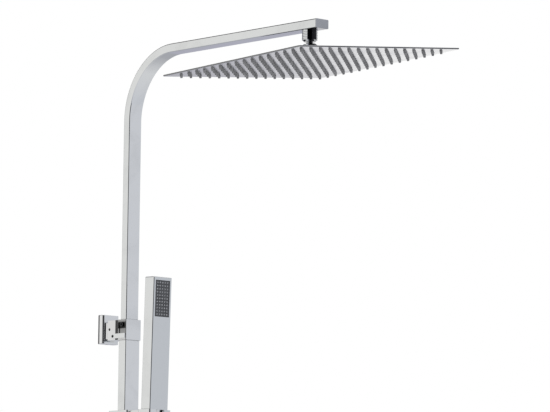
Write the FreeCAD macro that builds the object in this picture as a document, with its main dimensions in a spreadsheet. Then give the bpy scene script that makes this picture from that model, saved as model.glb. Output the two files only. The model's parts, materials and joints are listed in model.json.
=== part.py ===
import FreeCAD, Part
import math
import os
import re

import Sketcher

# A telescopic shower column with a bar mixer, an overhead plate head and a hand shower on a slider.
# Millimetres. +Z is up, the wall is the plane Y = 0 and the front of the column looks along -Y.
# The origin lies on the wall, midway between the two water inlets.

doc = FreeCAD.newDocument("ShowerColumn")
Vector = FreeCAD.Vector
Rotation = FreeCAD.Rotation

# ---------------------------------------------------------------- driving sizes
# name, value, what it measures
SIZES = [
    ("inlet_spacing", 150, "between the centres of the hot and cold inlets"),
    ("riser_out", 56, "from the wall to the axis of the bar and of the riser"),
    ("arm_height", 982, "centreline of the overhead arm above the inlets"),
    ("arm_reach", 474, "from the wall to the tip of the arm"),
    ("head_inset", 26, "from the tip of the arm back to the axis of the head's ball joint"),
    ("bend_radius", 127, "centreline radius of the bend from riser to arm"),
    # tubes
    ("upper_width", 23.8, "upper tube, across"),
    ("upper_depth", 13.1, "upper tube, front to back"),
    ("upper_wall", 1.2, "wall of the upper tube"),
    ("upper_corner", 1.0, "outer corner radius of the upper tube"),
    ("slide_gap", 0.35, "clearance round the upper tube inside the lower one"),
    ("light_gap", 0.28, "clearance of the wiper and the lock screw round the upper tube"),
    ("lower_wall", 1.3, "wall of the lower tube"),
    ("lower_corner", 1.2, "outer corner radius of the lower tube"),
    ("tube_overlap", 200, "length of the upper tube inside the column, as set here"),
    ("seat_gap", 0.05, "clearance of a tube or spigot in its socket"),
    ("plug_height", 14, "end plug of the upper tube, below the tube"),
    ("plug_spigot", 10, "end plug, length inside the tube"),
    ("seal_height", 2.2, "height of a sliding seal"),
    ("seal_depth", 1.2, "depth of a seal groove"),
    ("end_cap_thickness", 1.5, "flat cap at the tip of the arm"),
    # collar and wall bracket
    ("collar_level", 555, "underside of the collar above the inlets"),
    ("collar_height", 30.4, "height of the collar"),
    ("collar_wall", 1.2, "collar wall round the lower tube"),
    ("collar_grip", 13, "length of the lower tube inside the collar"),
    ("wiper_height", 2, "height of the wiper ring"),
    ("window_depth", 1.0, "recess in the left side of the collar"),
    ("window_width", 12, "recess, front to back"),
    ("window_down", 4, "recess, below the top of the collar"),
    ("window_height", 18, "recess, height"),
    ("lock_screw_radius", 2.5, "radius of the collar's lock screw"),
    ("lock_screw_head", 3.4, "head radius of the lock screw"),
    ("lock_screw_up", 23, "height of the lock screw in the collar"),
    ("flange_width", 31, "wall flange, across"),
    ("flange_height", 43.3, "wall flange, height"),
    ("flange_depth", 13.2, "wall flange, front to back"),
    ("flange_level", 573, "centre of the wall flange above the inlets"),
    ("flange_wall", 1.5, "sheet of the hollow wall flange"),
    ("flange_corner", 3, "corner radius of the wall flange"),
    ("neck_width", 23, "neck between flange and block, across"),
    ("neck_height", 24, "neck between flange and block, height"),
    ("neck_length", 9.3, "neck between flange and block, front to back"),
    ("wall_plate_depth", 4, "plate screwed to the wall inside the flange"),
    ("cover_screw_out", 2.5, "screw under the flange, from the wall"),
    ("wall_screw_radius", 2.4, "screw holes of the wall plate"),
    ("wall_screw_spacing", 24, "between the screw holes of the wall plate"),
    ("bar_height", 7, "side bar of the collar, height"),
    ("bar_thickness", 1.5, "side bar of the collar, thickness"),
    ("bar_length", 31, "side bar of the collar, length"),
    ("bar_up", 2.6, "side bar above the underside of the collar"),
    ("bar_round", 3.15, "corner radius at the back end of the side bar"),
    ("bar_screw_proud", 0.4, "screw of the side bar, above its face"),
    ("grub_radius", 2, "radius of the grub screws"),
    ("grub_length", 5, "length of the grub screws"),
    ("socket_radius", 1.1, "hexagon socket of the small screws, to a corner"),
    ("block_height", 29.4, "block behind the collar, height"),
    ("stud_radius", 3, "screw between flange and block"),
    ("socket_depth", 1.7, "depth of a hexagon socket"),
    ("stud_head", 3, "head of that screw, height"),
    ("stud_head_radius", 5.1, "radius of that head"),
    ("stud_length", 6, "length of that screw inside the block"),
    ("block_grub_back", 5, "grub screw of the block, from the block's back"),
    ("block_grub_up", 1.5, "grub screw of the block, above its middle"),
    ("sunk", 0.3, "depth of a grub screw below its face"),
    # joins and small clearances that several pieces share
    ("merge", 2, "how far a form reaches into the one it joins"),
    ("end_gap", 0.5, "free space beyond the end of a screw or a spigot"),
    ("small_edge", 0.6, "edge radius of small pieces"),
    # mixer bar
    ("mixer_length", 196, "body of the mixer between its handles"),
    ("mixer_side", 40, "square section of the mixer body"),
    ("mixer_corner", 3, "edge radius of the mixer body"),
    ("cartridge_radius", 13.5, "radius of both cartridges"),
    ("thermostat_length", 54, "length of the thermostatic cartridge"),
    ("valve_length", 44, "length of the flow cartridge"),
    ("cartridge_waist", 6, "length of the waist round a cartridge"),
    ("cartridge_groove", 1.2, "depth of that waist"),
    ("gallery_radius", 6, "water way along the mixer body"),
    ("union_radius", 10.48, "half-inch pipe thread, outer radius"),
    ("union_bore", 7.5, "bore of the wall unions"),
    ("union_depth", 16, "thread of the union inside the wall"),
    ("coupling_radius", 13.2, "three-quarter-inch pipe thread, outer radius"),
    ("shoulder_radius", 12, "plain part of the union behind its coupling thread"),
    ("shoulder_end", 10.5, "end of that plain part from the wall"),
    ("union_reach", 21, "end of the union from the wall"),
    ("nozzle_radius", 11, "inlet nozzles at the back of the mixer"),
    ("nozzle_bore", 8, "bore of the inlet nozzles"),
    ("washer_thickness", 2, "filter washers"),
    ("check_valve_end", 10, "end of the check valve in its nozzle"),
    ("nut_flats", 30, "union nuts, across flats"),
    ("nut_start", 11.5, "near end of the union nut from the wall"),
    ("nut_lip", 3, "inner lip of the union nut"),
    ("thread_gap", 0.1, "play between an inner and an outer thread"),
    ("rosette_side", 62, "square wall rosettes"),
    ("rosette_depth", 9, "depth of the wall rosettes"),
    ("rosette_wall", 1.5, "sheet of the wall rosettes"),
    ("port_depth", 12, "threaded ports above and below in the mixer"),
    ("outlet_length", 12, "thread of the hose outlet"),
    ("outlet_collar", 3, "collar of the hose outlet"),
    ("outlet_bore", 6, "bore of the outlets"),
    ("riser_washer_thickness", 1.2, "washer under the foot of the riser"),
    ("riser_washer_radius", 14, "radius of that washer"),
    ("foot_width", 38, "foot of the riser, across"),
    ("foot_depth", 30, "foot of the riser, front to back"),
    ("foot_height", 26, "foot of the riser, height"),
    ("foot_socket", 10.5, "depth of the tube in the foot"),
    ("nipple_rise", 13, "riser nipple above the washer"),
    # handles
    ("handle_gap", 1, "between the mixer body and a handle"),
    ("handle_length", 44, "length of a handle"),
    ("handle_hollow", 22, "depth of the hollow in a handle"),
    ("handle_hollow_radius", 16, "radius of the hollow in a handle"),
    ("spindle_radius", 4, "radius of the cartridge spindles"),
    ("running_gap", 0.06, "radial play of a turning shaft"),
    ("spindle_inside", 18, "length of a spindle in its cartridge"),
    ("spindle_seat", 12, "length of a spindle in the handle"),
    ("nose_length", 6, "nose of a cartridge in front of the mixer"),
    ("nose_radius", 9, "radius of that nose"),
    ("handle_screw_radius", 2, "screw of a handle"),
    ("handle_screw_hole", 10, "depth of its hole in the spindle"),
    ("handle_screw_length", 12, "length of that screw under its head"),
    ("handle_screw_head", 3.5, "head radius of that screw"),
    ("handle_web", 4, "wall under the head of that screw"),
    ("cap_side", 26, "square cover at the end of a handle"),
    ("cap_thickness", 3, "thickness of that cover"),
    ("cap_gap", 0.2, "play round that cover"),
    ("button_width", 12, "override button, along the bar"),
    ("button_height", 8, "override button, height"),
    ("button_inset", 11, "override button from the inner end of the handle"),
    ("button_rise", 1.4, "override button in front of the handle"),
    ("button_length", 2.8, "length of the override button"),
    ("button_pocket", 3, "depth of its pocket"),
    ("button_gap", 0.3, "play round the button"),
    # slider and holder
    ("slider_top", 450, "top of the slider above the inlets"),
    ("slider_width", 40, "slider, across"),
    ("slider_depth", 43, "slider, front to back"),
    ("slider_height", 42, "slider, height"),
    ("slider_corner", 2.5, "corner radius of the slider"),
    ("slider_gap", 0.3, "play of the slider on the lower tube"),
    ("pad_depth", 3, "thickness of the brake pad"),
    ("pad_side", 11, "side of the brake pad"),
    ("knob_shank", 4, "radius of the knob's shank"),
    ("knob_side", 22, "square knob of the slider"),
    ("knob_length", 13, "length of the knob"),
    ("knob_corner", 4, "corner radius of the knob"),
    ("pivot_out", 91.7, "holder pivot from the wall"),
    ("pivot_down", 10.4, "holder pivot below the top of the slider"),
    ("pivot_radius", 3, "radius of the holder pin"),
    ("pin_head", 1.6, "thickness of the pin's head"),
    ("pin_head_radius", 4.5, "radius of the pin's head"),
    ("pin_socket_radius", 1.6, "hexagon socket of the pin, to a corner"),
    ("knuckle_radius", 9, "radius round the holder pin"),
    ("lug_width", 11, "lug of the slider, across"),
    ("ear_width", 14, "ear of the holder, across"),
    ("ear_gap", 0.3, "play between lug and ears"),
    ("cup_width", 41, "holder cup, across"),
    ("cup_depth", 27.5, "holder cup, front to back"),
    ("cup_rise", 10.3, "top of the cup above the pivot"),
    ("cup_drop", 17.3, "underside of the cup below the pivot"),
    ("cup_back", 10.95, "back of the cup in front of the pivot"),
    ("cup_bore", 11.7, "radius of the hole in the cup"),
    ("cup_slot", 15, "slot at the front of the cup"),
    ("cup_corner", 2.5, "corner radius of the cup"),
    ("handset_lean", 1.5, "forward lean of holder and handset, degrees"),
    # handset
    ("handset_width", 34.8, "handset, across"),
    ("handset_depth", 20.8, "handset, front to back"),
    ("handset_length", 195.3, "handset, length"),
    ("handset_corner", 1.6, "corner radius of the handset"),
    ("handset_top_edge", 1.2, "edge radius at the top of the handset"),
    ("handset_seat_gap", 0.1, "between the handset and the top of its cup"),
    ("panel_width", 27, "spray panel of the handset, across"),
    ("panel_height", 53.6, "spray panel, height"),
    ("panel_low", 136.7, "lower edge of the spray panel from the handset's foot"),
    ("panel_thickness", 2.6, "thickness of the spray panel"),
    ("panel_inset", 0.4, "spray panel behind the face of the handset"),
    ("panel_gap", 0.15, "play round the spray panel"),
    ("panel_columns", 5, "jets across"),
    ("panel_rows", 11, "jets down"),
    ("panel_pitch", 4.7, "between two jets"),
    ("jet_side", 1.8, "foot of a jet"),
    ("jet_height", 0.7, "height of a jet"),
    ("chamber_depth", 7, "water chamber behind the spray panel"),
    ("chamber_margin", 2.5, "rim that the spray panel rests on"),
    ("channel_wall", 1.4, "wall of the water channel"),
    ("channel_radius", 6.4, "water channel of the handset"),
    ("inlet_length", 15, "thread of the handset's inlet"),
    ("inlet_seat", 14, "length of that inlet inside the handset"),
    ("inlet_seat_radius", 9, "radius of that inlet inside the handset"),
    # ball joint
    ("nipple_radius", 8, "nipple under the arm"),
    ("nipple_inside", 4, "height of the nipple inside the arm"),
    ("nipple_length", 10.5, "length of the nipple below the arm"),
    ("nipple_bore", 4.5, "bore of the nipple"),
    ("swivel_radius", 11.2, "round nut under the arm"),
    ("swivel_height", 17, "height of that nut"),
    ("swivel_lip", 3, "inner lip of that nut"),
    ("swivel_edge", 1.5, "plain edge above and below the ridges"),
    ("swivel_ridges", 6, "ridges round that nut"),
    ("ridge_width", 1.4, "width of a ridge"),
    ("ridge_depth", 0.5, "depth of the grooves between the ridges"),
    ("swivel_washer_thickness", 1.5, "washer in that nut"),
    ("ball_radius", 9.5, "ball of the head's joint"),
    ("ball_drop", 27, "centre of the ball below the arm"),
    ("ball_neck", 4.4, "neck of the ball"),
    ("ball_bore", 3, "water way through the ball"),
    ("ball_gap", 0.3, "play between the layers round the ball"),
    ("ring_thickness", 1.0, "each ring round the ball"),
    ("ring_low", -40, "lower edge of those rings, degrees of latitude"),
    ("ring_high", -1, "upper edge of those rings, degrees of latitude"),
    ("cavity_low", -64, "lower edge of the ring space, degrees of latitude"),
    ("cavity_high", 14, "upper edge of the ring space, degrees of latitude"),
    ("collar_nut_wall", 1.3, "wall round the ring space"),
    ("collar_nut_top", 7.0, "top of the collar nut above the ball's centre"),
    ("collar_nut_cone", 2.5, "foot of its cone above the ball's centre"),
    ("collar_nut_mouth", 7.5, "radius of its mouth"),
    ("collar_nut_rim", 1.2, "rim round its mouth"),
    ("collar_nut_low", 11, "foot of the collar nut below the ball's centre"),
    # head
    ("head_side", 300, "side of the square head"),
    ("head_edge", 2.3, "thickness of the head at its edge"),
    ("head_drop", 20, "underside of the head below the ball's centre"),
    ("head_rise", 3.2, "rise of the top from its edge to its middle"),
    ("head_middle", 60, "flat square in the middle of the top"),
    ("head_sheet", 0.8, "sheet of the top"),
    ("head_rim", 1.2, "rim round the spray plate"),
    ("boss_radius", 17, "boss on top of the head"),
    ("boss_edge", 1.5, "edge of that boss"),
    ("boss_bore", 5, "water way through the boss"),
    ("plate_sheet", 1.0, "sheet of the spray plate"),
    ("mat_margin", 13.5, "from the head's edge to the edge of the nozzle mat"),
    ("mat_sheet", 0.8, "thickness of the nozzle mat"),
    ("nozzle_rows", 16, "nozzles along each side of the head"),
    ("nozzle_margin", 18.75, "from the head's edge to the outer rows of nozzles"),
    ("nozzle_foot", 2.3, "radius of a nozzle at its foot"),
    ("nozzle_tip", 1.6, "radius of a nozzle at its tip"),
    ("nozzle_reach", 3.4, "length of a nozzle below the spray plate"),
    ("nozzle_sides", 4, "flats of a nozzle"),
    ("nozzle_gap", 0.25, "play of a nozzle in its hole"),
    ("head_tilt", 5.74, "right edge raised, degrees"),
    ("head_nod", -1.75, "tilt about the row axis X, degrees"),
    ("head_yaw", -1.4, "turn about the row axis Z, degrees"),
]

# ---------------------------------------------------------------- places worked out from them
PLACES = [
    ("lower_width", "upper_width + 2 * (slide_gap + lower_wall)"),
    ("lower_depth", "upper_depth + 2 * (slide_gap + lower_wall)"),
    ("collar_width", "lower_width + 2 * collar_wall"),
    ("collar_depth", "lower_depth + 2 * collar_wall"),
    ("collar_top", "collar_level + collar_height"),
    ("lower_top", "collar_level + collar_grip"),
    ("leg_start", "arm_height - bend_radius"),
    ("leg_end", "collar_top - tube_overlap"),
    ("leg_length", "leg_start - leg_end"),
    ("head_out", "arm_reach - head_inset"),
    ("arm_length", "arm_reach - riser_out - bend_radius - end_cap_thickness"),
    ("arm_under", "arm_height - upper_depth / 2"),
    ("block_start", "flange_depth + neck_length"),
    ("block_end", "riser_out - collar_depth / 2"),
    ("mixer_top", "mixer_side / 2"),
    ("nozzle_end", "union_reach + washer_thickness"),
    ("foot_level", "mixer_top + riser_washer_thickness"),
    ("lower_start", "foot_level + foot_height - foot_socket"),
    ("handle_start", "mixer_length / 2 + handle_gap"),
    ("spindle_reach", "handle_gap + handle_hollow + spindle_seat"),
    ("screw_seat", "handle_length - cap_thickness"),
    ("pivot_level", "slider_top - pivot_down"),
    ("pivot_ahead", "pivot_out - riser_out"),
    ("cup_middle", "cup_back + cup_depth / 2"),
    ("ridge_step", "(swivel_height - 2 * swivel_edge) / swivel_ridges"),
    ("ball_level", "arm_under - ball_drop"),
    ("inner_ring", "ball_radius + ball_gap"),
    ("outer_ring", "inner_ring + ring_thickness + ball_gap"),
    ("cavity_radius", "outer_ring + ring_thickness + ball_gap"),
    ("collar_nut_radius", "cavity_radius + collar_nut_wall"),
    ("head_top", "-head_drop + head_edge + head_rise"),
    ("mat_side", "head_side - 2 * mat_margin"),
    ("nozzle_first", "nozzle_margin - head_side / 2"),
    ("nozzle_pitch", "-2 * nozzle_first / (nozzle_rows - 1)"),
]

home = {}


def link(text):
    """A formula with each name of a size turned into a reference to its cell."""
    return re.sub(r"[a-z]\w*", lambda word: home.get(word.group(0), word.group(0)), str(text))


def fill(label, rows):
    """A sheet with one named cell for each row; a formula refers to cells that were filled before."""
    sheet = doc.addObject("Spreadsheet::Sheet", label)
    for number, row in enumerate(rows, start=1):
        name, entry = row[0], row[1]
        formula = isinstance(entry, str)
        sheet.set(f"A{number}", name)
        sheet.set(f"B{number}", "=" + link(entry) if formula else str(entry))
        sheet.setAlias(f"B{number}", name)
        home[name] = f"{label}.{name}"
    doc.recompute()
    return sheet


sizes = fill("Sizes", SIZES)
places = fill("Places", PLACES)
size = {row[0]: float(sizes.get(row[0])) for row in SIZES}
size.update({row[0]: float(places.get(row[0])) for row in PLACES})

parts = []


# ---------------------------------------------------------------- modelling helpers
def bind(feature, attribute, text):
    feature.setExpression(attribute, link(text))


def keep(piece, label):
    """Give a finished sub-part the name of its node."""
    piece.Label = label
    parts.append(piece)
    return piece


def new_body(label, x="0", y="0", z="0", turn=None):
    body = doc.addObject("PartDesign::Body", label)
    if turn is not None:
        body.Placement.Rotation = turn
    for axis, text in zip("xyz", (x, y, z)):
        bind(body, f".Placement.Base.{axis}", text)
    return body


def new_sketch(body, plane, start="0"):
    """A sketch on an origin plane of its body, moved along that plane's normal."""
    sketch = body.newObject("Sketcher::SketchObject", f"{body.Name}_profile")
    for feature in body.Origin.OriginFeatures:
        if feature.Role == plane:
            sketch.AttachmentSupport = [(feature, "")]
    sketch.MapMode = "FlatFace"
    bind(sketch, ".AttachmentOffset.Base.z", start)
    return sketch


def fix_point(sketch, geometry, end, across, up):
    """Hold a point at its two distances from the sketch's origin."""
    for kind, text in (("DistanceX", across), ("DistanceY", up)):
        number = sketch.addConstraint(Sketcher.Constraint(kind, -1, 1, geometry, end, 1.0))
        bind(sketch, f"Constraints[{number}]", text)


def outline(sketch, corners):
    """A closed outline with straight sides."""
    first = sketch.GeometryCount
    count = len(corners)
    for index in range(count):
        here, there = (Vector(10 * math.cos(2 * math.pi * k / count), 10 * math.sin(2 * math.pi * k / count), 0)
                       for k in (index, index + 1))
        sketch.addGeometry(Part.LineSegment(here, there))
    for index in range(count):
        after = first + (index + 1) % count
        sketch.addConstraint(Sketcher.Constraint("Coincident", first + index, 2, after, 1))
        fix_point(sketch, first + index, 1, *corners[index])


def rectangle(sketch, width, height, across="0", up="0"):
    left, right = (f"({across}) {sign} ({width}) / 2" for sign in "-+")
    low, high = (f"({up}) {sign} ({height}) / 2" for sign in "-+")
    outline(sketch, [(left, low), (right, low), (right, high), (left, high)])


def polygon(sketch, sides, radius):
    """A regular outline whose first corner lies along the sketch's first axis."""
    turns = [360 * corner / sides for corner in range(sides)]
    outline(sketch, [(f"({radius}) * cos({turn})", f"({radius}) * sin({turn})") for turn in turns])


def circle(sketch, radius, across="0", up="0"):
    geometry = sketch.addGeometry(Part.Circle(Vector(0, 0, 0), Vector(0, 0, 1), 10))
    fix_point(sketch, geometry, 3, across, up)
    number = sketch.addConstraint(Sketcher.Constraint("Radius", geometry, 10.0))
    bind(sketch, f"Constraints[{number}]", radius)


def extrude(body, sketch, length, cut=False):
    """Pad or pocket along the normal of the sketch's plane."""
    kind = "Pocket" if cut else "Pad"
    feature = body.newObject(f"PartDesign::{kind}", f"{body.Name}_{kind.lower()}")
    feature.Profile = sketch
    feature.Reversed = cut
    bind(feature, "Length", length)
    return feature


def block(body, plane, width, height, start, length, across="0", up="0", cut=False):
    sketch = new_sketch(body, plane, start)
    rectangle(sketch, width, height, across, up)
    return extrude(body, sketch, length, cut)


def tube(body, plane, outer, inner, start, length, across="0", up="0"):
    """A run of rectangular tube; outer and inner are its width and height."""
    sketch = new_sketch(body, plane, start)
    rectangle(sketch, *outer, across, up)
    rectangle(sketch, *inner, across, up)
    return extrude(body, sketch, length)


def rod(body, plane, radius, start, length, across="0", up="0", cut=False):
    sketch = new_sketch(body, plane, start)
    circle(sketch, radius, across, up)
    return extrude(body, sketch, length, cut)


def turned(body, along, profile, cut=False):
    """A turned form: the profile holds stations along the axis with their radii."""
    plane = "YZ_Plane" if along == "y" else "XZ_Plane"
    sketch = new_sketch(body, plane)
    outline(sketch, [(radius, station) if along == "z" else (station, radius) for station, radius in profile])
    feature = body.newObject("PartDesign::Groove" if cut else "PartDesign::Revolution", f"{body.Name}_turning")
    feature.Profile = sketch
    feature.ReferenceAxis = (sketch, ["V_Axis" if along == "z" else "H_Axis"])
    feature.Angle = 360
    return feature


def hexagon_socket(body, plane, start, depth, radius="socket_radius", across="0", up="0"):
    """The hexagonal recess of a small screw."""
    sketch = new_sketch(body, plane, start)
    turns = [60 * corner for corner in range(6)]
    outline(sketch, [(f"({across}) + ({radius}) * cos({turn})", f"({up}) + ({radius}) * sin({turn})")
                     for turn in turns])
    return extrude(body, sketch, depth, cut=True)


def straight_along(axis):
    """Choose the straight edges that run along one axis."""
    def chosen(edge):
        if edge.Curve.TypeId != "Part::GeomLine":
            return False
        return abs(getattr(edge.Curve.Direction, axis)) > 0.999
    return chosen


def at_level(axis, level, outside=0.0):
    """Choose the edges that lie in a plane across one axis, and stand out from that axis."""
    def chosen(edge):
        box = edge.BoundBox
        middle = box.Center
        flat = max(abs(getattr(box, f"{axis.upper()}{end}") - level) for end in ("Min", "Max")) < 0.01
        others = [getattr(middle, name) for name in "xyz" if name != axis]
        return flat and max(abs(value) for value in others) > outside
    return chosen


def both(first, second):
    return lambda edge: first(edge) and second(edge)


def soften(body, radius, chosen, kind="Fillet"):
    """Round or bevel the chosen edges of the body as it stands."""
    doc.recompute()
    base = body.Tip
    names = [f"Edge{number}" for number, edge in enumerate(base.Shape.Edges, start=1) if chosen(edge)]
    feature = body.newObject(f"PartDesign::{kind}", f"{body.Name}_{kind.lower()}")
    feature.Base = (base, names)
    bind(feature, "Radius" if kind == "Fillet" else "Size", radius)
    return feature


def sphere(body, radius, low=None, high=None, cut=False):
    """A ball about the body's origin, or the slice of it between two latitudes."""
    feature = body.newObject("PartDesign::SubtractiveSphere" if cut else "PartDesign::AdditiveSphere",
                             f"{body.Name}_sphere")
    bind(feature, "Radius", radius)
    if low is not None:
        bind(feature, "Angle1", low)
        bind(feature, "Angle2", high)
    return feature


def group(label, members):
    """Identical pieces that share one node."""
    compound = doc.addObject("Part::Compound", label)
    compound.Links = members
    return keep(compound, label)


# ---------------------------------------------------------------- mixer body and its connections
def mixer_body():
    body = new_body("valve_body", y="-riser_out")
    block(body, "YZ_Plane", "mixer_side", "mixer_side", "-mixer_length / 2", "mixer_length")
    soften(body, "mixer_corner", straight_along("x"))
    for side in ("-inlet_spacing / 2", "inlet_spacing / 2"):
        rod(body, "XZ_Plane", "nozzle_radius", "-(riser_out - nozzle_end)",
            "riser_out - nozzle_end - mixer_side / 2 + merge", side)
        rod(body, "XZ_Plane", "coupling_radius - thread_gap * 3", "-(riser_out - nozzle_end)", "washer_thickness",
            side)
        rod(body, "XZ_Plane", "nozzle_bore", "-(riser_out - nozzle_end)", "riser_out - nozzle_end", side, cut=True)
    rod(body, "YZ_Plane", "cartridge_radius + seat_gap", "mixer_length / 2 - thermostat_length",
        "thermostat_length", cut=True)
    rod(body, "YZ_Plane", "cartridge_radius + seat_gap", "-mixer_length / 2", "valve_length", cut=True)
    rod(body, "YZ_Plane", "gallery_radius", "-mixer_length / 2", "mixer_length", cut=True)
    rod(body, "XY_Plane", "union_radius + thread_gap", "mixer_side / 2 - port_depth", "port_depth", cut=True)
    rod(body, "XY_Plane", "union_radius + thread_gap", "-mixer_side / 2", "port_depth", cut=True)
    rod(body, "XY_Plane", "outlet_bore", "-mixer_side / 2", "mixer_side", cut=True)
    keep(body, "valve_body")


def wall_connections():
    washers, valves = [], []
    for name, side in (("left", "-inlet_spacing / 2"), ("right", "inlet_spacing / 2")):
        union = new_body(f"inlet_union_{name}", x=side)
        turned(union, "y", [("union_depth", "union_bore"), ("union_depth", "union_radius"), ("0", "union_radius"),
                            ("0", "shoulder_radius"), ("-shoulder_end", "shoulder_radius"),
                            ("-shoulder_end", "coupling_radius"), ("-union_reach", "coupling_radius"),
                            ("-union_reach", "union_bore")])
        keep(union, f"inlet_union_{name}")

        rosette = new_body(f"wall_rosette_{name}", x=side)
        block(rosette, "XZ_Plane", "rosette_side", "rosette_side", "0", "rosette_depth")
        soften(rosette, "mixer_corner", straight_along("y"))
        soften(rosette, "rosette_wall / 2", at_level("y", -size["rosette_depth"]))
        block(rosette, "XZ_Plane", "rosette_side - 2 * rosette_wall", "rosette_side - 2 * rosette_wall", "0",
              "rosette_depth - rosette_wall", cut=True)
        rod(rosette, "XZ_Plane", "shoulder_radius + 4 * seat_gap", "0", "rosette_depth", cut=True)
        keep(rosette, f"wall_rosette_{name}")

        nut = new_body(f"union_nut_{name}", x=side)
        sketch = new_sketch(nut, "XZ_Plane", "nut_start")
        polygon(sketch, 6, "nut_flats / 2 / cos(30)")
        extrude(nut, sketch, "nozzle_end + washer_thickness + nut_lip - nut_start")
        rod(nut, "XZ_Plane", "coupling_radius + thread_gap", "nut_start",
            "nozzle_end + washer_thickness - nut_start", cut=True)
        rod(nut, "XZ_Plane", "nozzle_radius + thread_gap", "nut_start",
            "nozzle_end + washer_thickness + nut_lip - nut_start", cut=True)
        keep(nut, f"union_nut_{name}")

        washer = new_body(f"filter_washer_{name}", x=side, y="-union_reach")
        turned(washer, "y", [("0", "union_bore"), ("0", "coupling_radius - 3 * thread_gap"),
                             ("-washer_thickness", "coupling_radius - 3 * thread_gap"),
                             ("-washer_thickness", "union_bore")])
        washers.append(washer)

        valve = new_body(f"check_valve_{name}", x=side, y="-nozzle_end")
        turned(valve, "y", [("-end_gap", "nozzle_bore / 2"), ("-end_gap", "nozzle_bore - thread_gap"),
                            ("-check_valve_end", "nozzle_bore - thread_gap"),
                            ("-check_valve_end", "nozzle_bore / 2")])
        valves.append(valve)
    group("filter_washers", washers)
    group("check_valves", valves)


def outlets():
    outlet = new_body("hose_outlet", y="-riser_out", z="-mixer_side / 2")
    turned(outlet, "z", [("-outlet_collar - outlet_length", "outlet_bore"),
                         ("-outlet_collar - outlet_length", "union_radius"), ("-outlet_collar", "union_radius"),
                         ("-outlet_collar", "coupling_radius"), ("0", "coupling_radius"), ("0", "union_radius"),
                         ("port_depth - end_gap", "union_radius"), ("port_depth - end_gap", "outlet_bore")])
    keep(outlet, "hose_outlet")

    nipple = new_body("riser_nipple", y="-riser_out", z="foot_level")
    turned(nipple, "z", [("-riser_washer_thickness - port_depth + end_gap", "outlet_bore"),
                         ("-riser_washer_thickness - port_depth + end_gap", "union_radius"),
                         ("nipple_rise", "union_radius"), ("nipple_rise", "outlet_bore")])
    keep(nipple, "riser_nipple")

    washer = new_body("riser_washer", y="-riser_out", z="mixer_top")
    turned(washer, "z", [("0", "union_radius + 2 * thread_gap"), ("0", "riser_washer_radius"),
                         ("riser_washer_thickness", "riser_washer_radius"),
                         ("riser_washer_thickness", "union_radius + 2 * thread_gap")])
    keep(washer, "riser_washer")


def cartridge(label, x, length, turn):
    body = new_body(label, x=x, y="-riser_out", turn=turn)
    groove = "cartridge_radius - cartridge_groove"
    turned(body, "x", [(f"-({length})", "0"), (f"-({length})", "cartridge_radius"),
                       (f"-({length} + cartridge_waist) / 2", "cartridge_radius"), (f"-({length} + cartridge_waist) / 2", groove),
                       (f"-({length} - cartridge_waist) / 2", groove), (f"-({length} - cartridge_waist) / 2", "cartridge_radius"),
                       ("0", "cartridge_radius"), ("0", "nose_radius"), ("nose_length", "nose_radius"),
                       ("nose_length", "0")])
    rod(body, "YZ_Plane", "spindle_radius + running_gap", "-spindle_inside", "spindle_inside + nose_length",
        cut=True)
    keep(body, label)


def handle(name, x, turn):
    """A square handle with its spindle, screw and end cover."""
    spindle = new_body(f"{name}_spindle", x=f"{x} * mixer_length / 2", y="-riser_out", turn=turn)
    turned(spindle, "x", [("-spindle_inside + end_gap", "0"), ("-spindle_inside + end_gap", "spindle_radius"),
                          ("spindle_reach", "spindle_radius"), ("spindle_reach", "0")])
    rod(spindle, "YZ_Plane", "handle_screw_radius + seat_gap", "spindle_reach - handle_screw_hole",
        "handle_screw_hole", cut=True)
    keep(spindle, f"{name}_spindle")

    grip = new_body(f"{name}_handle", x=f"{x} * handle_start", y="-riser_out", turn=turn)
    block(grip, "YZ_Plane", "mixer_side", "mixer_side", "0", "handle_length")
    soften(grip, "mixer_corner", straight_along("x"))
    soften(grip, "mixer_corner / 2", at_level("x", size["handle_length"]), "Chamfer")
    rod(grip, "YZ_Plane", "handle_hollow_radius", "0", "handle_hollow", cut=True)
    rod(grip, "YZ_Plane", "spindle_radius + seat_gap", "0", "handle_hollow + spindle_seat", cut=True)
    rod(grip, "YZ_Plane", "handle_screw_radius + cap_gap", "0", "screw_seat", cut=True)
    rod(grip, "YZ_Plane", "handle_screw_head + 2 * cap_gap", "handle_hollow + spindle_seat + handle_web", "handle_length",
        cut=True)
    block(grip, "YZ_Plane", "cap_side", "cap_side", "screw_seat", "cap_thickness", cut=True)
    if name == "temperature":
        block(grip, "XZ_Plane", "button_width", "button_height", "mixer_side / 2 - button_pocket", "button_pocket",
              "button_inset", cut=True)
    keep(grip, f"{name}_handle")

    screw = new_body(f"{name}_handle_screw", x=f"{x} * handle_start", y="-riser_out", turn=turn)
    seat = "handle_hollow + spindle_seat + handle_web"
    turned(screw, "x", [(f"{seat} - handle_screw_length", "0"), (f"{seat} - handle_screw_length", "handle_screw_radius"),
                        (seat, "handle_screw_radius"), (seat, "handle_screw_head"),
                        ("screw_seat - end_gap", "handle_screw_head"), ("screw_seat - end_gap", "0")])
    hexagon_socket(screw, "YZ_Plane", "screw_seat - end_gap - socket_depth", "socket_depth", "handle_screw_radius")
    keep(screw, f"{name}_handle_screw")

    cover = new_body(f"{name}_handle_cap", x=f"{x} * (handle_start + screw_seat)", y="-riser_out", turn=turn)
    block(cover, "YZ_Plane", "cap_side - 2 * cap_gap", "cap_side - 2 * cap_gap", "0", "cap_thickness")
    soften(cover, "small_edge", at_level("x", size["cap_thickness"]))
    keep(cover, f"{name}_handle_cap")


def override_button():
    body = new_body("override_button", x="handle_start + button_inset", y="-riser_out - mixer_side / 2")
    block(body, "XZ_Plane", "button_width - 2 * button_gap", "button_height - 2 * button_gap",
          "button_rise - button_length", "button_length")
    soften(body, "small_edge", straight_along("y"))
    keep(body, "override_button")


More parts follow.
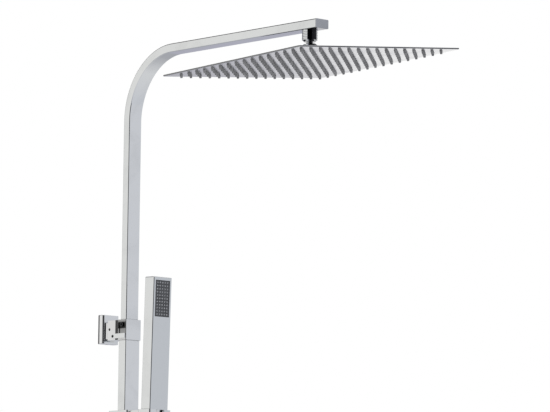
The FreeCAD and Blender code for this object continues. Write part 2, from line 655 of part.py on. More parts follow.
# ---------------------------------------------------------------- riser
def riser_foot():
    body = new_body("tube_foot", y="-riser_out", z="foot_level")
    block(body, "XY_Plane", "foot_width", "foot_depth", "0", "foot_height")
    soften(body, "mixer_corner", straight_along("z"))
    soften(body, "mixer_corner / 2", at_level("z", size["foot_height"]))
    rod(body, "XY_Plane", "union_radius + thread_gap", "0", "nipple_rise + end_gap", cut=True)
    rod(body, "XY_Plane", "outlet_bore", "0", "foot_height", cut=True)
    block(body, "XY_Plane", "lower_width + 2 * seat_gap", "lower_depth + 2 * seat_gap",
          "foot_height - foot_socket", "foot_socket", cut=True)
    rod(body, "XZ_Plane", "grub_radius + seat_gap", "-foot_depth / 2", "foot_depth / 2 - lower_depth / 2",
        up="foot_height - foot_socket / 2", cut=True)
    keep(body, "tube_foot")


def lower_tube():
    body = new_body("lower_tube", y="-riser_out", z="lower_start")
    tube(body, "XY_Plane", ("lower_width", "lower_depth"),
         ("lower_width - 2 * lower_wall", "lower_depth - 2 * lower_wall"), "0", "lower_top - lower_start")
    half = size["lower_width"] / 2
    soften(body, "lower_corner",
           both(straight_along("z"), lambda edge: abs(abs(edge.BoundBox.Center.x) - half) < 0.01))
    keep(body, "lower_tube")


def upper_tube():
    """The riser's upper leg, its bend and the arm, as one bent rectangular tube."""
    body = new_body("upper_tube", y="-riser_out", z="leg_start")
    outer = ("upper_width", "upper_depth")
    inner = ("upper_width - 2 * upper_wall", "upper_depth - 2 * upper_wall")
    tube(body, "XY_Plane", outer, inner, "-leg_length", "leg_length")
    bend = new_sketch(body, "XY_Plane")
    rectangle(bend, *outer)
    rectangle(bend, *inner)
    axis = bend.addGeometry(Part.LineSegment(Vector(10, -9, 0), Vector(-10, -9, 0)), True)
    fix_point(bend, axis, 1, "upper_width", "-bend_radius")
    fix_point(bend, axis, 2, "-upper_width", "-bend_radius")
    turn = body.newObject("PartDesign::Revolution", "upper_tube_bend")
    turn.Profile = bend
    turn.ReferenceAxis = (bend, ["Axis0"])
    turn.Angle = 90
    turn.Reversed = True
    tube(body, "XZ_Plane", outer, inner, "bend_radius", "arm_length", up="bend_radius")
    half = size["upper_width"] / 2
    longest = 2 * size["upper_depth"]
    soften(body, "upper_corner",
           lambda edge: abs(abs(edge.BoundBox.Center.x) - half) < 0.01 and edge.Length > longest)
    rod(body, "XY_Plane", "nipple_radius + seat_gap", "bend_radius - upper_depth / 2", "upper_wall + end_gap",
        up="riser_out - head_out", cut=True)
    keep(body, "upper_tube")


def telescope_end():
    """The plug at the foot of the upper tube, and the two seals that slide in the lower tube."""
    inner_width = "(upper_width - 2 * upper_wall - 2 * seat_gap)"
    inner_depth = "(upper_depth - 2 * upper_wall - 2 * seat_gap)"
    body = new_body("telescope_plug", y="-riser_out", z="leg_end")
    block(body, "XY_Plane", "upper_width", "upper_depth", "-plug_height", "plug_height")
    block(body, "XY_Plane", inner_width, inner_depth, "0", "plug_spigot")
    seals = []
    for number in (1, 2):
        groove = f"-plug_height * {number} / 3 - seal_height / 2"
        ring = new_sketch(body, "XY_Plane", groove)
        rectangle(ring, "upper_width + 2", "upper_depth + 2")
        rectangle(ring, "upper_width - 2 * seal_depth", "upper_depth - 2 * seal_depth")
        extrude(body, ring, "seal_height", cut=True)
        seal = new_body(f"telescope_seal_{number}", y="-riser_out", z=f"leg_end + {groove}")
        tube(seal, "XY_Plane", ("upper_width + slide_gap / 2", "upper_depth + slide_gap / 2"),
             ("upper_width - 2 * seal_depth", "upper_depth - 2 * seal_depth"), "0", "seal_height")
        seals.append(seal)
    block(body, "XY_Plane", "upper_width / 2", "upper_depth / 3", "-plug_height", "plug_height + plug_spigot",
          cut=True)
    keep(body, "telescope_plug")
    group("telescope_seals", seals)


def arm_cap():
    body = new_body("arm_end_cap", y="-arm_reach", z="arm_height")
    block(body, "XZ_Plane", "upper_width", "upper_depth", "-end_cap_thickness", "end_cap_thickness")
    soften(body, "upper_corner", straight_along("y"))
    keep(body, "arm_end_cap")


# ---------------------------------------------------------------- collar and wall bracket
def collar():
    body = new_body("tube_collar", y="-riser_out", z="collar_level")
    block(body, "XY_Plane", "collar_width", "collar_depth", "0", "collar_height")
    soften(body, "lower_corner", straight_along("z"))
    block(body, "XY_Plane", "lower_width + 2 * seat_gap", "lower_depth + 2 * seat_gap", "0",
          "collar_grip + wiper_height", cut=True)
    block(body, "XY_Plane", "upper_width + 2 * slide_gap", "upper_depth + 2 * slide_gap", "0", "collar_height",
          cut=True)
    block(body, "YZ_Plane", "window_width", "window_height", "-collar_width / 2", "window_depth",
          up="collar_height - window_down - window_height / 2", cut=True)
    rod(body, "YZ_Plane", "lock_screw_radius + seat_gap", "-collar_width / 2", "collar_width / 2",
        up="lock_screw_up", cut=True)
    keep(body, "tube_collar")

    wiper = new_body("collar_wiper", y="-riser_out", z="lower_top")
    tube(wiper, "XY_Plane", ("lower_width", "lower_depth"),
         ("upper_width + 2 * light_gap", "upper_depth + 2 * light_gap"), "0", "wiper_height")
    keep(wiper, "collar_wiper")

    screw = new_body("collar_lock_screw", y="-riser_out", z="collar_level + lock_screw_up")
    tip = "-(upper_width / 2 + light_gap)"
    seat = "-(collar_width / 2 - window_depth)"
    crown = "-(collar_width / 2 + window_depth)"
    turned(screw, "x", [(tip, "0"), (tip, "lock_screw_radius"), (seat, "lock_screw_radius"),
                        (seat, "lock_screw_head"), (crown, "lock_screw_head"), (crown, "0")])
    hexagon_socket(screw, "YZ_Plane", crown, "socket_depth", "lock_screw_head / 2")
    keep(screw, "collar_lock_screw")


def side_bar():
    """The flat bar that ties the collar to the block behind it, with its screw."""
    middle = "collar_level + bar_up + bar_height / 2"
    front = "riser_out + collar_depth / 2 - lower_corner"
    bar = new_body("clamp_bar", x="-collar_width / 2", y=f"-({front}) + bar_length / 2", z=middle)
    block(bar, "YZ_Plane", "bar_length", "bar_height", "-bar_thickness", "bar_thickness")
    soften(bar, "bar_round",
           both(straight_along("x"), lambda edge: edge.BoundBox.Center.y > 0))
    rod(bar, "YZ_Plane", "grub_radius + seat_gap", "-bar_thickness", "bar_thickness",
        "bar_length / 2 - bar_height / 2", cut=True)
    keep(bar, "clamp_bar")

    screw = new_body("clamp_bar_screw", x="-collar_width / 2",
                     y=f"-({front}) + bar_length - bar_height / 2", z=middle)
    turned(screw, "x", [("grub_length", "0"), ("grub_length", "grub_radius"),
                        ("-bar_thickness - bar_screw_proud", "grub_radius"), ("-bar_thickness - bar_screw_proud", "0")])
    hexagon_socket(screw, "YZ_Plane", "-bar_thickness - bar_screw_proud", "socket_depth")
    keep(screw, "clamp_bar_screw")


def bracket():
    collar_middle = "collar_level + collar_height / 2"
    post = new_body("bracket_block", z=collar_middle)
    block(post, "XZ_Plane", "neck_width", "neck_height", "flange_depth", "neck_length")
    block(post, "XZ_Plane", "collar_width", "block_height", "block_start", "block_end - block_start")
    half = size["collar_width"] / 2
    soften(post, "lower_corner", both(straight_along("z"), lambda edge: abs(abs(edge.BoundBox.Center.x) - half) < 0.01))
    rod(post, "XZ_Plane", "stud_radius + seat_gap", "flange_depth", "neck_length + stud_length", cut=True)
    rod(post, "YZ_Plane", "grub_radius + seat_gap", "-collar_width / 2", "grub_length + seat_gap",
        "-(block_start + block_grub_back)", "block_grub_up", cut=True)
    rod(post, "YZ_Plane", "grub_radius + seat_gap", "-collar_width / 2", "grub_length + seat_gap",
        "-(riser_out + collar_depth / 2 - lower_corner) + bar_length - bar_height / 2",
        "bar_up + bar_height / 2 - collar_height / 2", cut=True)
    keep(post, "bracket_block")

    cover = new_body("bracket_cover", z="flange_level")
    block(cover, "XZ_Plane", "flange_width", "flange_height", "0", "flange_depth")
    soften(cover, "flange_corner", straight_along("z"))
    soften(cover, "flange_wall / 2", at_level("z", size["flange_height"] / 2))
    soften(cover, "flange_wall / 2", at_level("z", -size["flange_height"] / 2))
    block(cover, "XZ_Plane", "flange_width - 2 * flange_wall", "flange_height - 2 * flange_wall", "0",
          "flange_depth - 2 * flange_wall", cut=True)
    rod(cover, "XZ_Plane", "stud_radius + seat_gap", "0", "flange_depth",
        up=f"{collar_middle} - flange_level", cut=True)
    rod(cover, "XY_Plane", "grub_radius + seat_gap", "-flange_height / 2", "2 * flange_wall",
        up="-cover_screw_out", cut=True)
    keep(cover, "bracket_cover")

    stud = new_body("bracket_stud", z=collar_middle)
    seat = "-(flange_depth - 2 * flange_wall)"
    turned(stud, "y", [(f"{seat} + stud_head", "0"), (f"{seat} + stud_head", "stud_head_radius"),
                       (seat, "stud_head_radius"),
                       (seat, "stud_radius"), ("-(block_start + stud_length - end_gap)", "stud_radius"),
                       ("-(block_start + stud_length - end_gap)", "0")])
    keep(stud, "bracket_stud")

    plate = new_body("bracket_wall_plate", z="flange_level")
    block(plate, "XZ_Plane", "flange_width - 2 * flange_wall - 4 * seat_gap",
          "flange_height - 2 * flange_wall - 4 * seat_gap", "0", "wall_plate_depth")
    for level in ("-wall_screw_spacing / 2", "wall_screw_spacing / 2"):
        rod(plate, "XZ_Plane", "wall_screw_radius", "0", "wall_plate_depth", up=level, cut=True)
    keep(plate, "bracket_wall_plate")

    screws = []
    foot = new_body("foot_grub_screw", y="-riser_out + foot_depth / 2",
                    z="foot_level + foot_height - foot_socket / 2")
    turned(foot, "y", [("0", "0"), ("0", "grub_radius"), ("-grub_length", "grub_radius"), ("-grub_length", "0")])
    hexagon_socket(foot, "XZ_Plane", "0", "socket_depth")
    screws.append(foot)
    post_screw = new_body("block_grub_screw", x="-collar_width / 2", y="-(block_start + block_grub_back)",
                          z=f"{collar_middle} + block_grub_up")
    turned(post_screw, "x", [("sunk", "0"), ("sunk", "grub_radius"), ("grub_length", "grub_radius"),
                             ("grub_length", "0")])
    hexagon_socket(post_screw, "YZ_Plane", "sunk", "socket_depth")
    screws.append(post_screw)
    cover_screw = new_body("cover_grub_screw", y="-cover_screw_out",
                           z="flange_level - flange_height / 2")
    turned(cover_screw, "z", [("sunk", "0"), ("sunk", "grub_radius"),
                              ("flange_wall + 2 * seat_gap", "grub_radius"), ("flange_wall + 2 * seat_gap", "0")])
    screws.append(cover_screw)
    group("grub_screws", screws)


# ---------------------------------------------------------------- slider and holder
def slider():
    body = new_body("slider_body", y="-riser_out", z="slider_top - slider_height")
    block(body, "XY_Plane", "slider_width", "slider_depth", "0", "slider_height")
    soften(body, "slider_corner", straight_along("z"))
    pivot = "slider_height - pivot_down"
    block(body, "YZ_Plane", "pivot_ahead - slider_depth / 2 + 2", "2 * knuckle_radius", "-lug_width / 2",
          "lug_width", "-(pivot_ahead + slider_depth / 2 - 2) / 2", pivot)
    rod(body, "YZ_Plane", "knuckle_radius", "-lug_width / 2", "lug_width", "-pivot_ahead", pivot)
    rod(body, "YZ_Plane", "pivot_radius + running_gap", "-lug_width / 2", "lug_width", "-pivot_ahead", pivot,
        cut=True)
    block(body, "XY_Plane", "lower_width + 2 * slider_gap", "lower_depth + 2 * slider_gap", "0", "slider_height",
          cut=True)
    block(body, "YZ_Plane", "pad_side + 2 * slider_gap", "pad_side + 2 * slider_gap", "lower_width / 2",
          "slider_gap + pad_depth", up="slider_height / 2", cut=True)
    rod(body, "YZ_Plane", "knob_shank + running_gap", "lower_width / 2", "slider_width / 2",
        up="slider_height / 2", cut=True)
    keep(body, "slider_body")

    pad = new_body("slider_pad", x="lower_width / 2 + slider_gap", y="-riser_out",
                   z="slider_top - slider_height / 2")
    block(pad, "YZ_Plane", "pad_side", "pad_side", "0", "pad_depth - 2 * seat_gap")
    keep(pad, "slider_pad")

    knob = new_body("slider_knob", x="slider_width / 2", y="-riser_out", z="slider_top - slider_height / 2")
    shank = "slider_width / 2 - lower_width / 2 - 2 * slider_gap - pad_depth"
    rod(knob, "YZ_Plane", "knob_shank", f"-({shank})", f"{shank} + merge")
    block(knob, "YZ_Plane", "knob_side", "knob_side", "slider_gap", "knob_length")
    soften(knob, "knob_corner", both(straight_along("x"), lambda edge: edge.Length > 2))
    soften(knob, "knob_corner / 4", at_level("x", size["slider_gap"] + size["knob_length"]))
    keep(knob, "slider_knob")


def holder():
    lean = Rotation(Vector(1, 0, 0), size["handset_lean"])
    cup = new_body("holder_cup", y="-pivot_out", z="pivot_level", turn=lean)
    block(cup, "XY_Plane", "cup_width", "cup_depth", "-cup_drop", "cup_drop + cup_rise", up="-cup_middle")
    soften(cup, "cup_corner", straight_along("z"))
    for side in "-+":
        start = f"{side} (lug_width / 2 + ear_gap)" + (" - ear_width" if side == "-" else "")
        block(cup, "YZ_Plane", "cup_back + 2", "2 * knuckle_radius", start, "ear_width", "-(cup_back + 2) / 2")
        rod(cup, "YZ_Plane", "knuckle_radius", start, "ear_width")
    span = "lug_width / 2 + ear_gap + ear_width"
    rod(cup, "YZ_Plane", "pivot_radius + seat_gap", f"-({span})", f"2 * ({span})", cut=True)
    rod(cup, "XY_Plane", "cup_bore", "-cup_drop", "cup_drop + cup_rise", up="-cup_middle", cut=True)
    block(cup, "XY_Plane", "cup_slot", "cup_depth", "-cup_drop", "cup_drop + cup_rise",
          up="-cup_middle - cup_depth / 2", cut=True)
    keep(cup, "holder_cup")

    pin = new_body("holder_pin", y="-pivot_out", z="pivot_level", turn=lean)
    turned(pin, "x", [(f"-({span})", "0"), (f"-({span})", "pivot_radius"), (f"{span}", "pivot_radius"),
                      (f"{span}", "pin_head_radius"), (f"{span} + pin_head", "pin_head_radius"),
                      (f"{span} + pin_head", "0")])
    hexagon_socket(pin, "YZ_Plane", f"{span} + pin_head - socket_depth", "socket_depth", "pin_socket_radius")
    keep(pin, "holder_pin")


# ---------------------------------------------------------------- handset
def handset():
    lean = Rotation(Vector(1, 0, 0), size["handset_lean"])
    rise = "(cup_rise + handset_seat_gap)"
    foot_y = f"-pivot_out - cup_middle * cos(handset_lean) - {rise} * sin(handset_lean)"
    foot_z = f"pivot_level - cup_middle * sin(handset_lean) + {rise} * cos(handset_lean)"

    def handset_piece(label):
        return new_body(label, y=foot_y, z=foot_z, turn=lean)

    panel_middle = "panel_low + panel_height / 2"
    body = handset_piece("handset_body")
    block(body, "XY_Plane", "handset_width", "handset_depth", "0", "handset_length")
    soften(body, "handset_corner", straight_along("z"))
    soften(body, "handset_top_edge", at_level("z", size["handset_length"]))
    block(body, "XZ_Plane", "panel_width + 2 * panel_gap", "panel_height + 2 * panel_gap",
          "handset_depth / 2 - panel_thickness", "panel_thickness", up=panel_middle, cut=True)
    block(body, "XZ_Plane", "panel_width - 2 * chamber_margin", "panel_height - 2 * chamber_margin",
          "handset_depth / 2 - panel_thickness - chamber_depth", "chamber_depth", up=panel_middle, cut=True)
    rod(body, "XY_Plane", "channel_radius", "0", "panel_low + 2 * chamber_margin", cut=True)
    rod(body, "XY_Plane", "inlet_seat_radius + seat_gap", "0", "inlet_seat", cut=True)
    keep(body, "handset_body")

    inlet = handset_piece("handset_inlet")
    bore = "channel_radius - channel_wall"
    turned(inlet, "z", [("-inlet_length", bore), ("-inlet_length", "union_radius"), ("0", "union_radius"),
                        ("0", "inlet_seat_radius"), ("inlet_seat", "inlet_seat_radius"), ("inlet_seat", bore)])
    keep(inlet, "handset_inlet")

    channel = handset_piece("handset_water_tube")
    turned(channel, "z", [("inlet_seat", bore), ("inlet_seat", "channel_radius - seat_gap"),
                          ("panel_low", "channel_radius - seat_gap"), ("panel_low", bore)])
    keep(channel, "handset_water_tube")

    panel = handset_piece("handset_spray_panel")
    block(panel, "XZ_Plane", "panel_width", "panel_height", "handset_depth / 2 - panel_thickness",
          "panel_thickness - panel_inset", up=panel_middle)
    jet = new_sketch(panel, "XZ_Plane", "handset_depth / 2 - panel_inset")
    rectangle(jet, "jet_side", "jet_side", "-(panel_columns - 1) / 2 * panel_pitch",
              f"{panel_middle} - (panel_rows - 1) / 2 * panel_pitch")
    stub = extrude(panel, jet, "jet_height")
    patterns = []
    for axis, count in (("H_Axis", "panel_columns"), ("V_Axis", "panel_rows")):
        pattern = doc.addObject("PartDesign::LinearPattern", f"jets_{count}")
        pattern.Direction = (jet, [axis])
        pattern.Occurrences = int(size[count])
        bind(pattern, "Length", f"({count} - 1) * panel_pitch")
        patterns.append(pattern)
    grid = panel.newObject("PartDesign::MultiTransform", "handset_jets")
    grid.Originals = [stub]
    grid.Transformations = patterns
    panel.Tip = grid
    keep(panel, "handset_spray_panel")


# ---------------------------------------------------------------- ball joint under the arm
def arm_swivel():
    def swivel_piece(label, z="arm_under"):
        return new_body(label, y="-head_out", z=z)

    nipple = swivel_piece("arm_nipple")
    turned(nipple, "z", [("-nipple_length", "nipple_bore"), ("-nipple_length", "nipple_radius"),
                         ("nipple_inside", "nipple_radius"), ("nipple_inside", "nipple_bore")])
    keep(nipple, "arm_nipple")

    washer = swivel_piece("swivel_washer")
    low = "-(nipple_length + swivel_washer_thickness)"
    turned(washer, "z", [("-nipple_length", "nipple_bore"), ("-nipple_length", "nipple_radius"),
                         (low, "nipple_radius"), (low, "nipple_bore")])
    keep(washer, "swivel_washer")

    nut = swivel_piece("swivel_nut")
    lip = "-(swivel_height - swivel_lip)"
    profile = [("0", "nipple_radius + thread_gap"), ("0", "swivel_radius - ridge_depth")]
    for number in range(int(size["swivel_ridges"])):
        top = f"-swivel_edge - {number} * ridge_step"
        low = f"{top} - ridge_width"
        profile += [(top, "swivel_radius - ridge_depth"), (top, "swivel_radius"), (low, "swivel_radius"),
                    (low, "swivel_radius - ridge_depth")]
    profile += [("-swivel_height", "swivel_radius - 2 * swivel_edge"), ("-swivel_height", "ball_neck + thread_gap"),
                (lip, "ball_neck + thread_gap"), (lip, "nipple_radius + thread_gap")]
    turned(nut, "z", profile)
    keep(nut, "swivel_nut")

    stem = swivel_piece("ball_stem", "ball_level")
    flange = "ball_drop - nipple_length - swivel_washer_thickness"
    foot = "ball_drop - swivel_height + swivel_lip"
    sphere(stem, "ball_radius")
    turned(stem, "z", [("0", "0"), ("0", "ball_neck"), (foot, "ball_neck"), (foot, "nipple_radius - seat_gap"),
                       (flange, "nipple_radius - seat_gap"), (flange, "0")])
    rod(stem, "XY_Plane", "ball_bore", "-ball_radius", f"{flange} + ball_radius", cut=True)
    keep(stem, "ball_stem")

    for label, inner in (("ball_seal_ring", "inner_ring"), ("ball_bearing_ring", "outer_ring")):
        ring = new_body(label, y="-head_out", z="ball_level", turn=head_turn())
        sphere(ring, f"{inner} + ring_thickness", "ring_low", "ring_high")
        sphere(ring, inner, cut=True)
        keep(ring, label)


# ---------------------------------------------------------------- head
def head_turn():
    """The head as it is set: tilted about the ball's centre, as is everything that hangs from it."""
    tilt = Rotation(Vector(0, -1, 0), size["head_tilt"])
    nod = Rotation(Vector(1, 0, 0), size["head_nod"])
    yaw = Rotation(Vector(0, 0, 1), size["head_yaw"])
    return tilt.multiply(nod).multiply(yaw)


def head_piece(label):
    return new_body(label, y="-head_out", z="ball_level", turn=head_turn())


def head_connection():
    nut = head_piece("head_collar_nut")
    turned(nut, "z", [("-collar_nut_low", "0"), ("-collar_nut_low", "collar_nut_radius"),
                      ("collar_nut_cone", "collar_nut_radius"),
                      ("collar_nut_top", "collar_nut_mouth + collar_nut_rim"), ("collar_nut_top", "0")])
    sphere(nut, "cavity_radius", "cavity_low", "cavity_high", cut=True)
    sphere(nut, "inner_ring", cut=True)
    rod(nut, "XY_Plane", "collar_nut_mouth", "0", "collar_nut_top", cut=True)
    rod(nut, "XY_Plane", "boss_bore", "-collar_nut_low", "collar_nut_low", cut=True)
    keep(nut, "head_collar_nut")

    boss = head_piece("head_boss")
    turned(boss, "z", [("head_top", "boss_bore"), ("head_top", "boss_radius"),
                       ("head_top + boss_edge", "boss_radius"), ("-collar_nut_low", "collar_nut_radius"),
                       ("-collar_nut_low", "boss_bore")])
    keep(boss, "head_boss")


def loft(body, lower, upper, cut=False):
    """Between two squares, each a side and a level."""
    sketches = []
    for side, level in (lower, upper):
        sketch = new_sketch(body, "XY_Plane", level)
        rectangle(sketch, side, side)
        sketches.append(sketch)
    feature = body.newObject("PartDesign::SubtractiveLoft" if cut else "PartDesign::AdditiveLoft",
                             f"{body.Name}_loft")
    feature.Profile = sketches[0]
    feature.Sections = [sketches[1]]
    feature.Ruled = True
    return feature


def head_top_shell():
    """The folded top sheet: a very low pyramid with a rim that holds the spray plate."""
    body = head_piece("head_top_shell")
    edge = "-head_drop + head_edge"
    inner = "head_side - 2 * head_rim"
    block(body, "XY_Plane", "head_side", "head_side", "-head_drop", "head_edge")
    loft(body, ("head_side", edge), ("head_middle", "head_top"))
    block(body, "XY_Plane", inner, inner, "-head_drop", "head_edge - head_sheet", cut=True)
    loft(body, (inner, f"{edge} - head_sheet"), ("head_middle", "head_top - head_sheet"), cut=True)
    rod(body, "XY_Plane", "boss_bore", "-head_drop", "head_drop", cut=True)
    keep(body, "head_top_shell")


def ring_of_corners(centre_x, centre_y, level, radius):
    sides = int(size["nozzle_sides"])
    turns = [2 * math.pi * (corner + 0.5) / sides for corner in range(sides)]
    return [Vector(centre_x + radius * math.cos(turn), centre_y + radius * math.sin(turn), level)
            for turn in turns]


def closed_wire(corners):
    return Part.makePolygon(corners + corners[:1])


def nozzle_centres():
    rows = int(size["nozzle_rows"])
    steps = [size["nozzle_first"] + number * size["nozzle_pitch"] for number in range(rows)]
    return [(across, along) for across in steps for along in steps]


def square_corners(side, level):
    half = side / 2
    return [Vector(x, y, level) for x, y in ((-half, -half), (half, -half), (half, half), (-half, half))]


def place_in_head(label, shape):
    """A sheet part of the head, whose shape is set in the head's own frame."""
    piece = doc.addObject("Part::Feature", label)
    piece.Shape = shape
    piece.Placement = FreeCAD.Placement(Vector(0, -size["head_out"], size["ball_level"]), head_turn())
    keep(piece, label)


def head_spray_plate():
    """The flat sheet under the head, with one hole for each nozzle."""
    level = -size["head_drop"]
    side = size["head_side"] - 2 * size["head_rim"] - 2 * size["seat_gap"]
    radius = size["nozzle_foot"] + size["nozzle_gap"]
    holes = [closed_wire(ring_of_corners(x, y, level, radius)) for x, y in nozzle_centres()]
    sheet = Part.makeFace([closed_wire(square_corners(side, level))] + holes, "Part::FaceMakerBullseye")
    place_in_head("head_spray_plate", sheet.extrude(Vector(0, 0, size["plate_sheet"])))


def head_nozzle_mat():
    """The rubber mat on the spray plate: a sheet with a tapered nozzle through each hole of the plate."""
    under = -size["head_drop"] + size["plate_sheet"]
    over = under + size["mat_sheet"]
    tip = -size["head_drop"] - size["nozzle_reach"]
    low = square_corners(size["mat_side"], under)
    high = square_corners(size["mat_side"], over)
    feet, faces = [], [Part.Face(closed_wire(high))]
    for here in range(4):
        there = (here + 1) % 4
        faces.append(Part.Face(closed_wire([low[here], low[there], high[there], high[here]])))
    for x, y in nozzle_centres():
        foot = ring_of_corners(x, y, under, size["nozzle_foot"])
        end = ring_of_corners(x, y, tip, size["nozzle_tip"])
        feet.append(closed_wire(foot))
        faces.append(Part.Face(closed_wire(end)))
        for here in range(len(foot)):
            there = (here + 1) % len(foot)
            faces.append(Part.Face(closed_wire([foot[here], foot[there], end[there], end[here]])))
    faces.append(Part.makeFace([closed_wire(low)] + feet, "Part::FaceMakerBullseye").Faces[0])
    shell = Part.makeShell(faces)
    shell.sewShape()
    solid = Part.makeSolid(shell)
    if solid.Volume < 0:
        solid.reverse()
    place_in_head("head_nozzle_mat", solid)


# ---------------------------------------------------------------- the whole column
mixer_body()
wall_connections()
outlets()
cartridge("thermostatic_cartridge", "mixer_length / 2", "thermostat_length", None)
cartridge("flow_cartridge", "-mixer_length / 2", "valve_length", Rotation(Vector(0, 0, 1), 180))
handle("temperature", "1", None)
handle("flow", "-1", Rotation(Vector(0, 0, 1), 180))
override_button()
riser_foot()
lower_tube()
upper_tube()
telescope_end()
arm_cap()
collar()
side_bar()
bracket()
slider()
holder()
handset()
arm_swivel()
head_connection()
head_top_shell()
head_spray_plate()
head_nozzle_mat()

doc.recompute()

failed = [item.Name for item in doc.Objects if "Invalid" in item.State or "Error" in item.State]
failed += [piece.Label for piece in parts if piece.Shape.isNull() or not piece.Shape.isValid()]
if failed:
    raise SystemExit(f"these objects failed: {failed}")

os.makedirs("parts", exist_ok=True)
for piece in parts:
    piece.Shape.exportStep(f"parts/{piece.Label}.step")
print(len(parts), "sub-parts")
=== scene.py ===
import json
import math

import bmesh
import bpy
import numpy as np
from mathutils import Matrix, Vector

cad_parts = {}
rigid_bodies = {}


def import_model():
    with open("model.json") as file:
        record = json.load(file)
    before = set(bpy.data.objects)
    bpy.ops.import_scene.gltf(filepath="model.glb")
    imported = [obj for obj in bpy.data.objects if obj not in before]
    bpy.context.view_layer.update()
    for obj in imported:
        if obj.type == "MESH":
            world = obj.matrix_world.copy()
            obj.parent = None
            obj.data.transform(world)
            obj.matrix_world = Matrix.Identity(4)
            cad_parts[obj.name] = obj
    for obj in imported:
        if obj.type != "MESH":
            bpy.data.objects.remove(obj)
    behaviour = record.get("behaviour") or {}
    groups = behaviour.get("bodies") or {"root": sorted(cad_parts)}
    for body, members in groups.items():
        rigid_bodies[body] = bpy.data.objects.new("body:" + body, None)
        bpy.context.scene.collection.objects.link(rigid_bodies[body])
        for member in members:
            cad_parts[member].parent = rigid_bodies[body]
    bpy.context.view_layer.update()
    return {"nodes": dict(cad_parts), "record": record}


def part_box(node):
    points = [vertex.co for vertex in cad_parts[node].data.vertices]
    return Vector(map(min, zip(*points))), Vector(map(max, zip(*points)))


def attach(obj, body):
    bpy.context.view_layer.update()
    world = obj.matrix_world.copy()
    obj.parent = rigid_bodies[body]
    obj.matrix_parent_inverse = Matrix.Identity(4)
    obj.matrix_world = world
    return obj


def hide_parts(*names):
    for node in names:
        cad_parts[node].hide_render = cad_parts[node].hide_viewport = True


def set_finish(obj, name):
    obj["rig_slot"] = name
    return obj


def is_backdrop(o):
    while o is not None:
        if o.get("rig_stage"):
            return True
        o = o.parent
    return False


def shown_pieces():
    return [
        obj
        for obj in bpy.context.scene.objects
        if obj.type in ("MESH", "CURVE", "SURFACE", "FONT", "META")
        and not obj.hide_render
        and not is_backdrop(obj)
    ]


bl_info = {
    "name": "Shower column",
    "version": (1, 0, 0),
    "blender": (4, 5, 0),
    "location": "View3D > Sidebar > Shower",
    "description": "Dresses a telescopic shower column: riser, plate head, hand shower and bar mixer",
    "category": "Object",
}

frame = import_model()
NODES = frame["nodes"]

# places on the column, in metres, and how its loose parts are set, in degrees
BALL = Vector((0.0, -0.448, 0.94845))  # centre of the head's ball joint
HEAD_SET = (5.74, -1.75, -1.40)  # tilt, nod and turn of the head
HOSE_OUTLET = Vector((0.0, -0.056, -0.020))  # where the hose outlet leaves the mixer
HOLDER_PIVOT = Vector((0.0, -0.0917, 0.4396))  # axis on which the holder tilts
HANDSET_FOOT = Vector((0.0, -0.0247, 0.0104))  # foot of the hand shower, from the pivot
HANDSET_LEAN = 1.5  # lean of the holder and the hand shower in it, away from the riser

# the hose threads, in metres
THREAD_RADIUS = 0.01048
THREAD_PITCH = 0.0018
THREAD_DEPTH = 0.0008
THREAD_RUN_OUT = 0.0012  # over this length the ridges fade out, at each end
THREAD_END = -0.015  # level of a thread's lower end in its piece's own frame

# the photograph's camera
CAMERA_TURN = (-41.690, -6.859, 0.684)  # azimuth, elevation and roll, in degrees
CAMERA_PLACE = Vector((-3.6011, -4.4212, 0.0783))
FOCAL_PIXELS = 3819.909  # focal length, in pixels of the photograph
PHOTO_WIDTH = 550  # in pixels
SENSOR_WIDTH = 36.0  # in millimetres

FLOOR_REACH = 4.0  # from its middle to its sides, in metres
FLOOR_LEVEL = -0.6

LEFT, FRONT, DOWN = (-1, 0, 0), (0, -1, 0), (0, 0, -1)


# ---------------------------------------------------------------- settings
class ColumnSizes(bpy.types.PropertyGroup):
    """Sizes of the pieces that are drawn here, in metres."""

    riser_out: bpy.props.FloatProperty(
        name="Riser from wall", description="From the wall to the riser's axis", default=0.056,
        unit="LENGTH")
    arm_height: bpy.props.FloatProperty(
        name="Arm height", description="Centreline of the arm above the inlets", default=0.982,
        unit="LENGTH")
    bend_radius: bpy.props.FloatProperty(
        name="Bend radius", description="Centreline radius of the bend", default=0.100, unit="LENGTH")
    tube_wall: bpy.props.FloatProperty(
        name="Tube wall", description="Wall of the upper tube", default=0.0012, unit="LENGTH")
    tube_corner: bpy.props.FloatProperty(
        name="Tube corner", description="Outer corner radius of the upper tube", default=0.0015,
        unit="LENGTH")
    head_side: bpy.props.FloatProperty(
        name="Head side", description="Side of the square head", default=0.300, unit="LENGTH")
    head_drop: bpy.props.FloatProperty(
        name="Head drop", description="Underside of the head below the ball's centre", default=0.020,
        unit="LENGTH")
    head_edge: bpy.props.FloatProperty(
        name="Head edge", description="Thickness of the head at its edge", default=0.0023, unit="LENGTH")
    head_rise: bpy.props.FloatProperty(
        name="Head rise", description="Rise of the top from its edge to its middle", default=0.0032,
        unit="LENGTH")
    nozzle_rows: bpy.props.IntProperty(
        name="Nozzle rows", description="Nozzles along each side of the head", default=16, min=2, max=24)
    nozzle_margin: bpy.props.FloatProperty(
        name="Nozzle margin", description="From the head's edge to the outer rows", default=0.01875,
        unit="LENGTH")
    nozzle_reach: bpy.props.FloatProperty(
        name="Nozzle reach", description="Length of a nozzle below the plate", default=0.0045,
        unit="LENGTH")


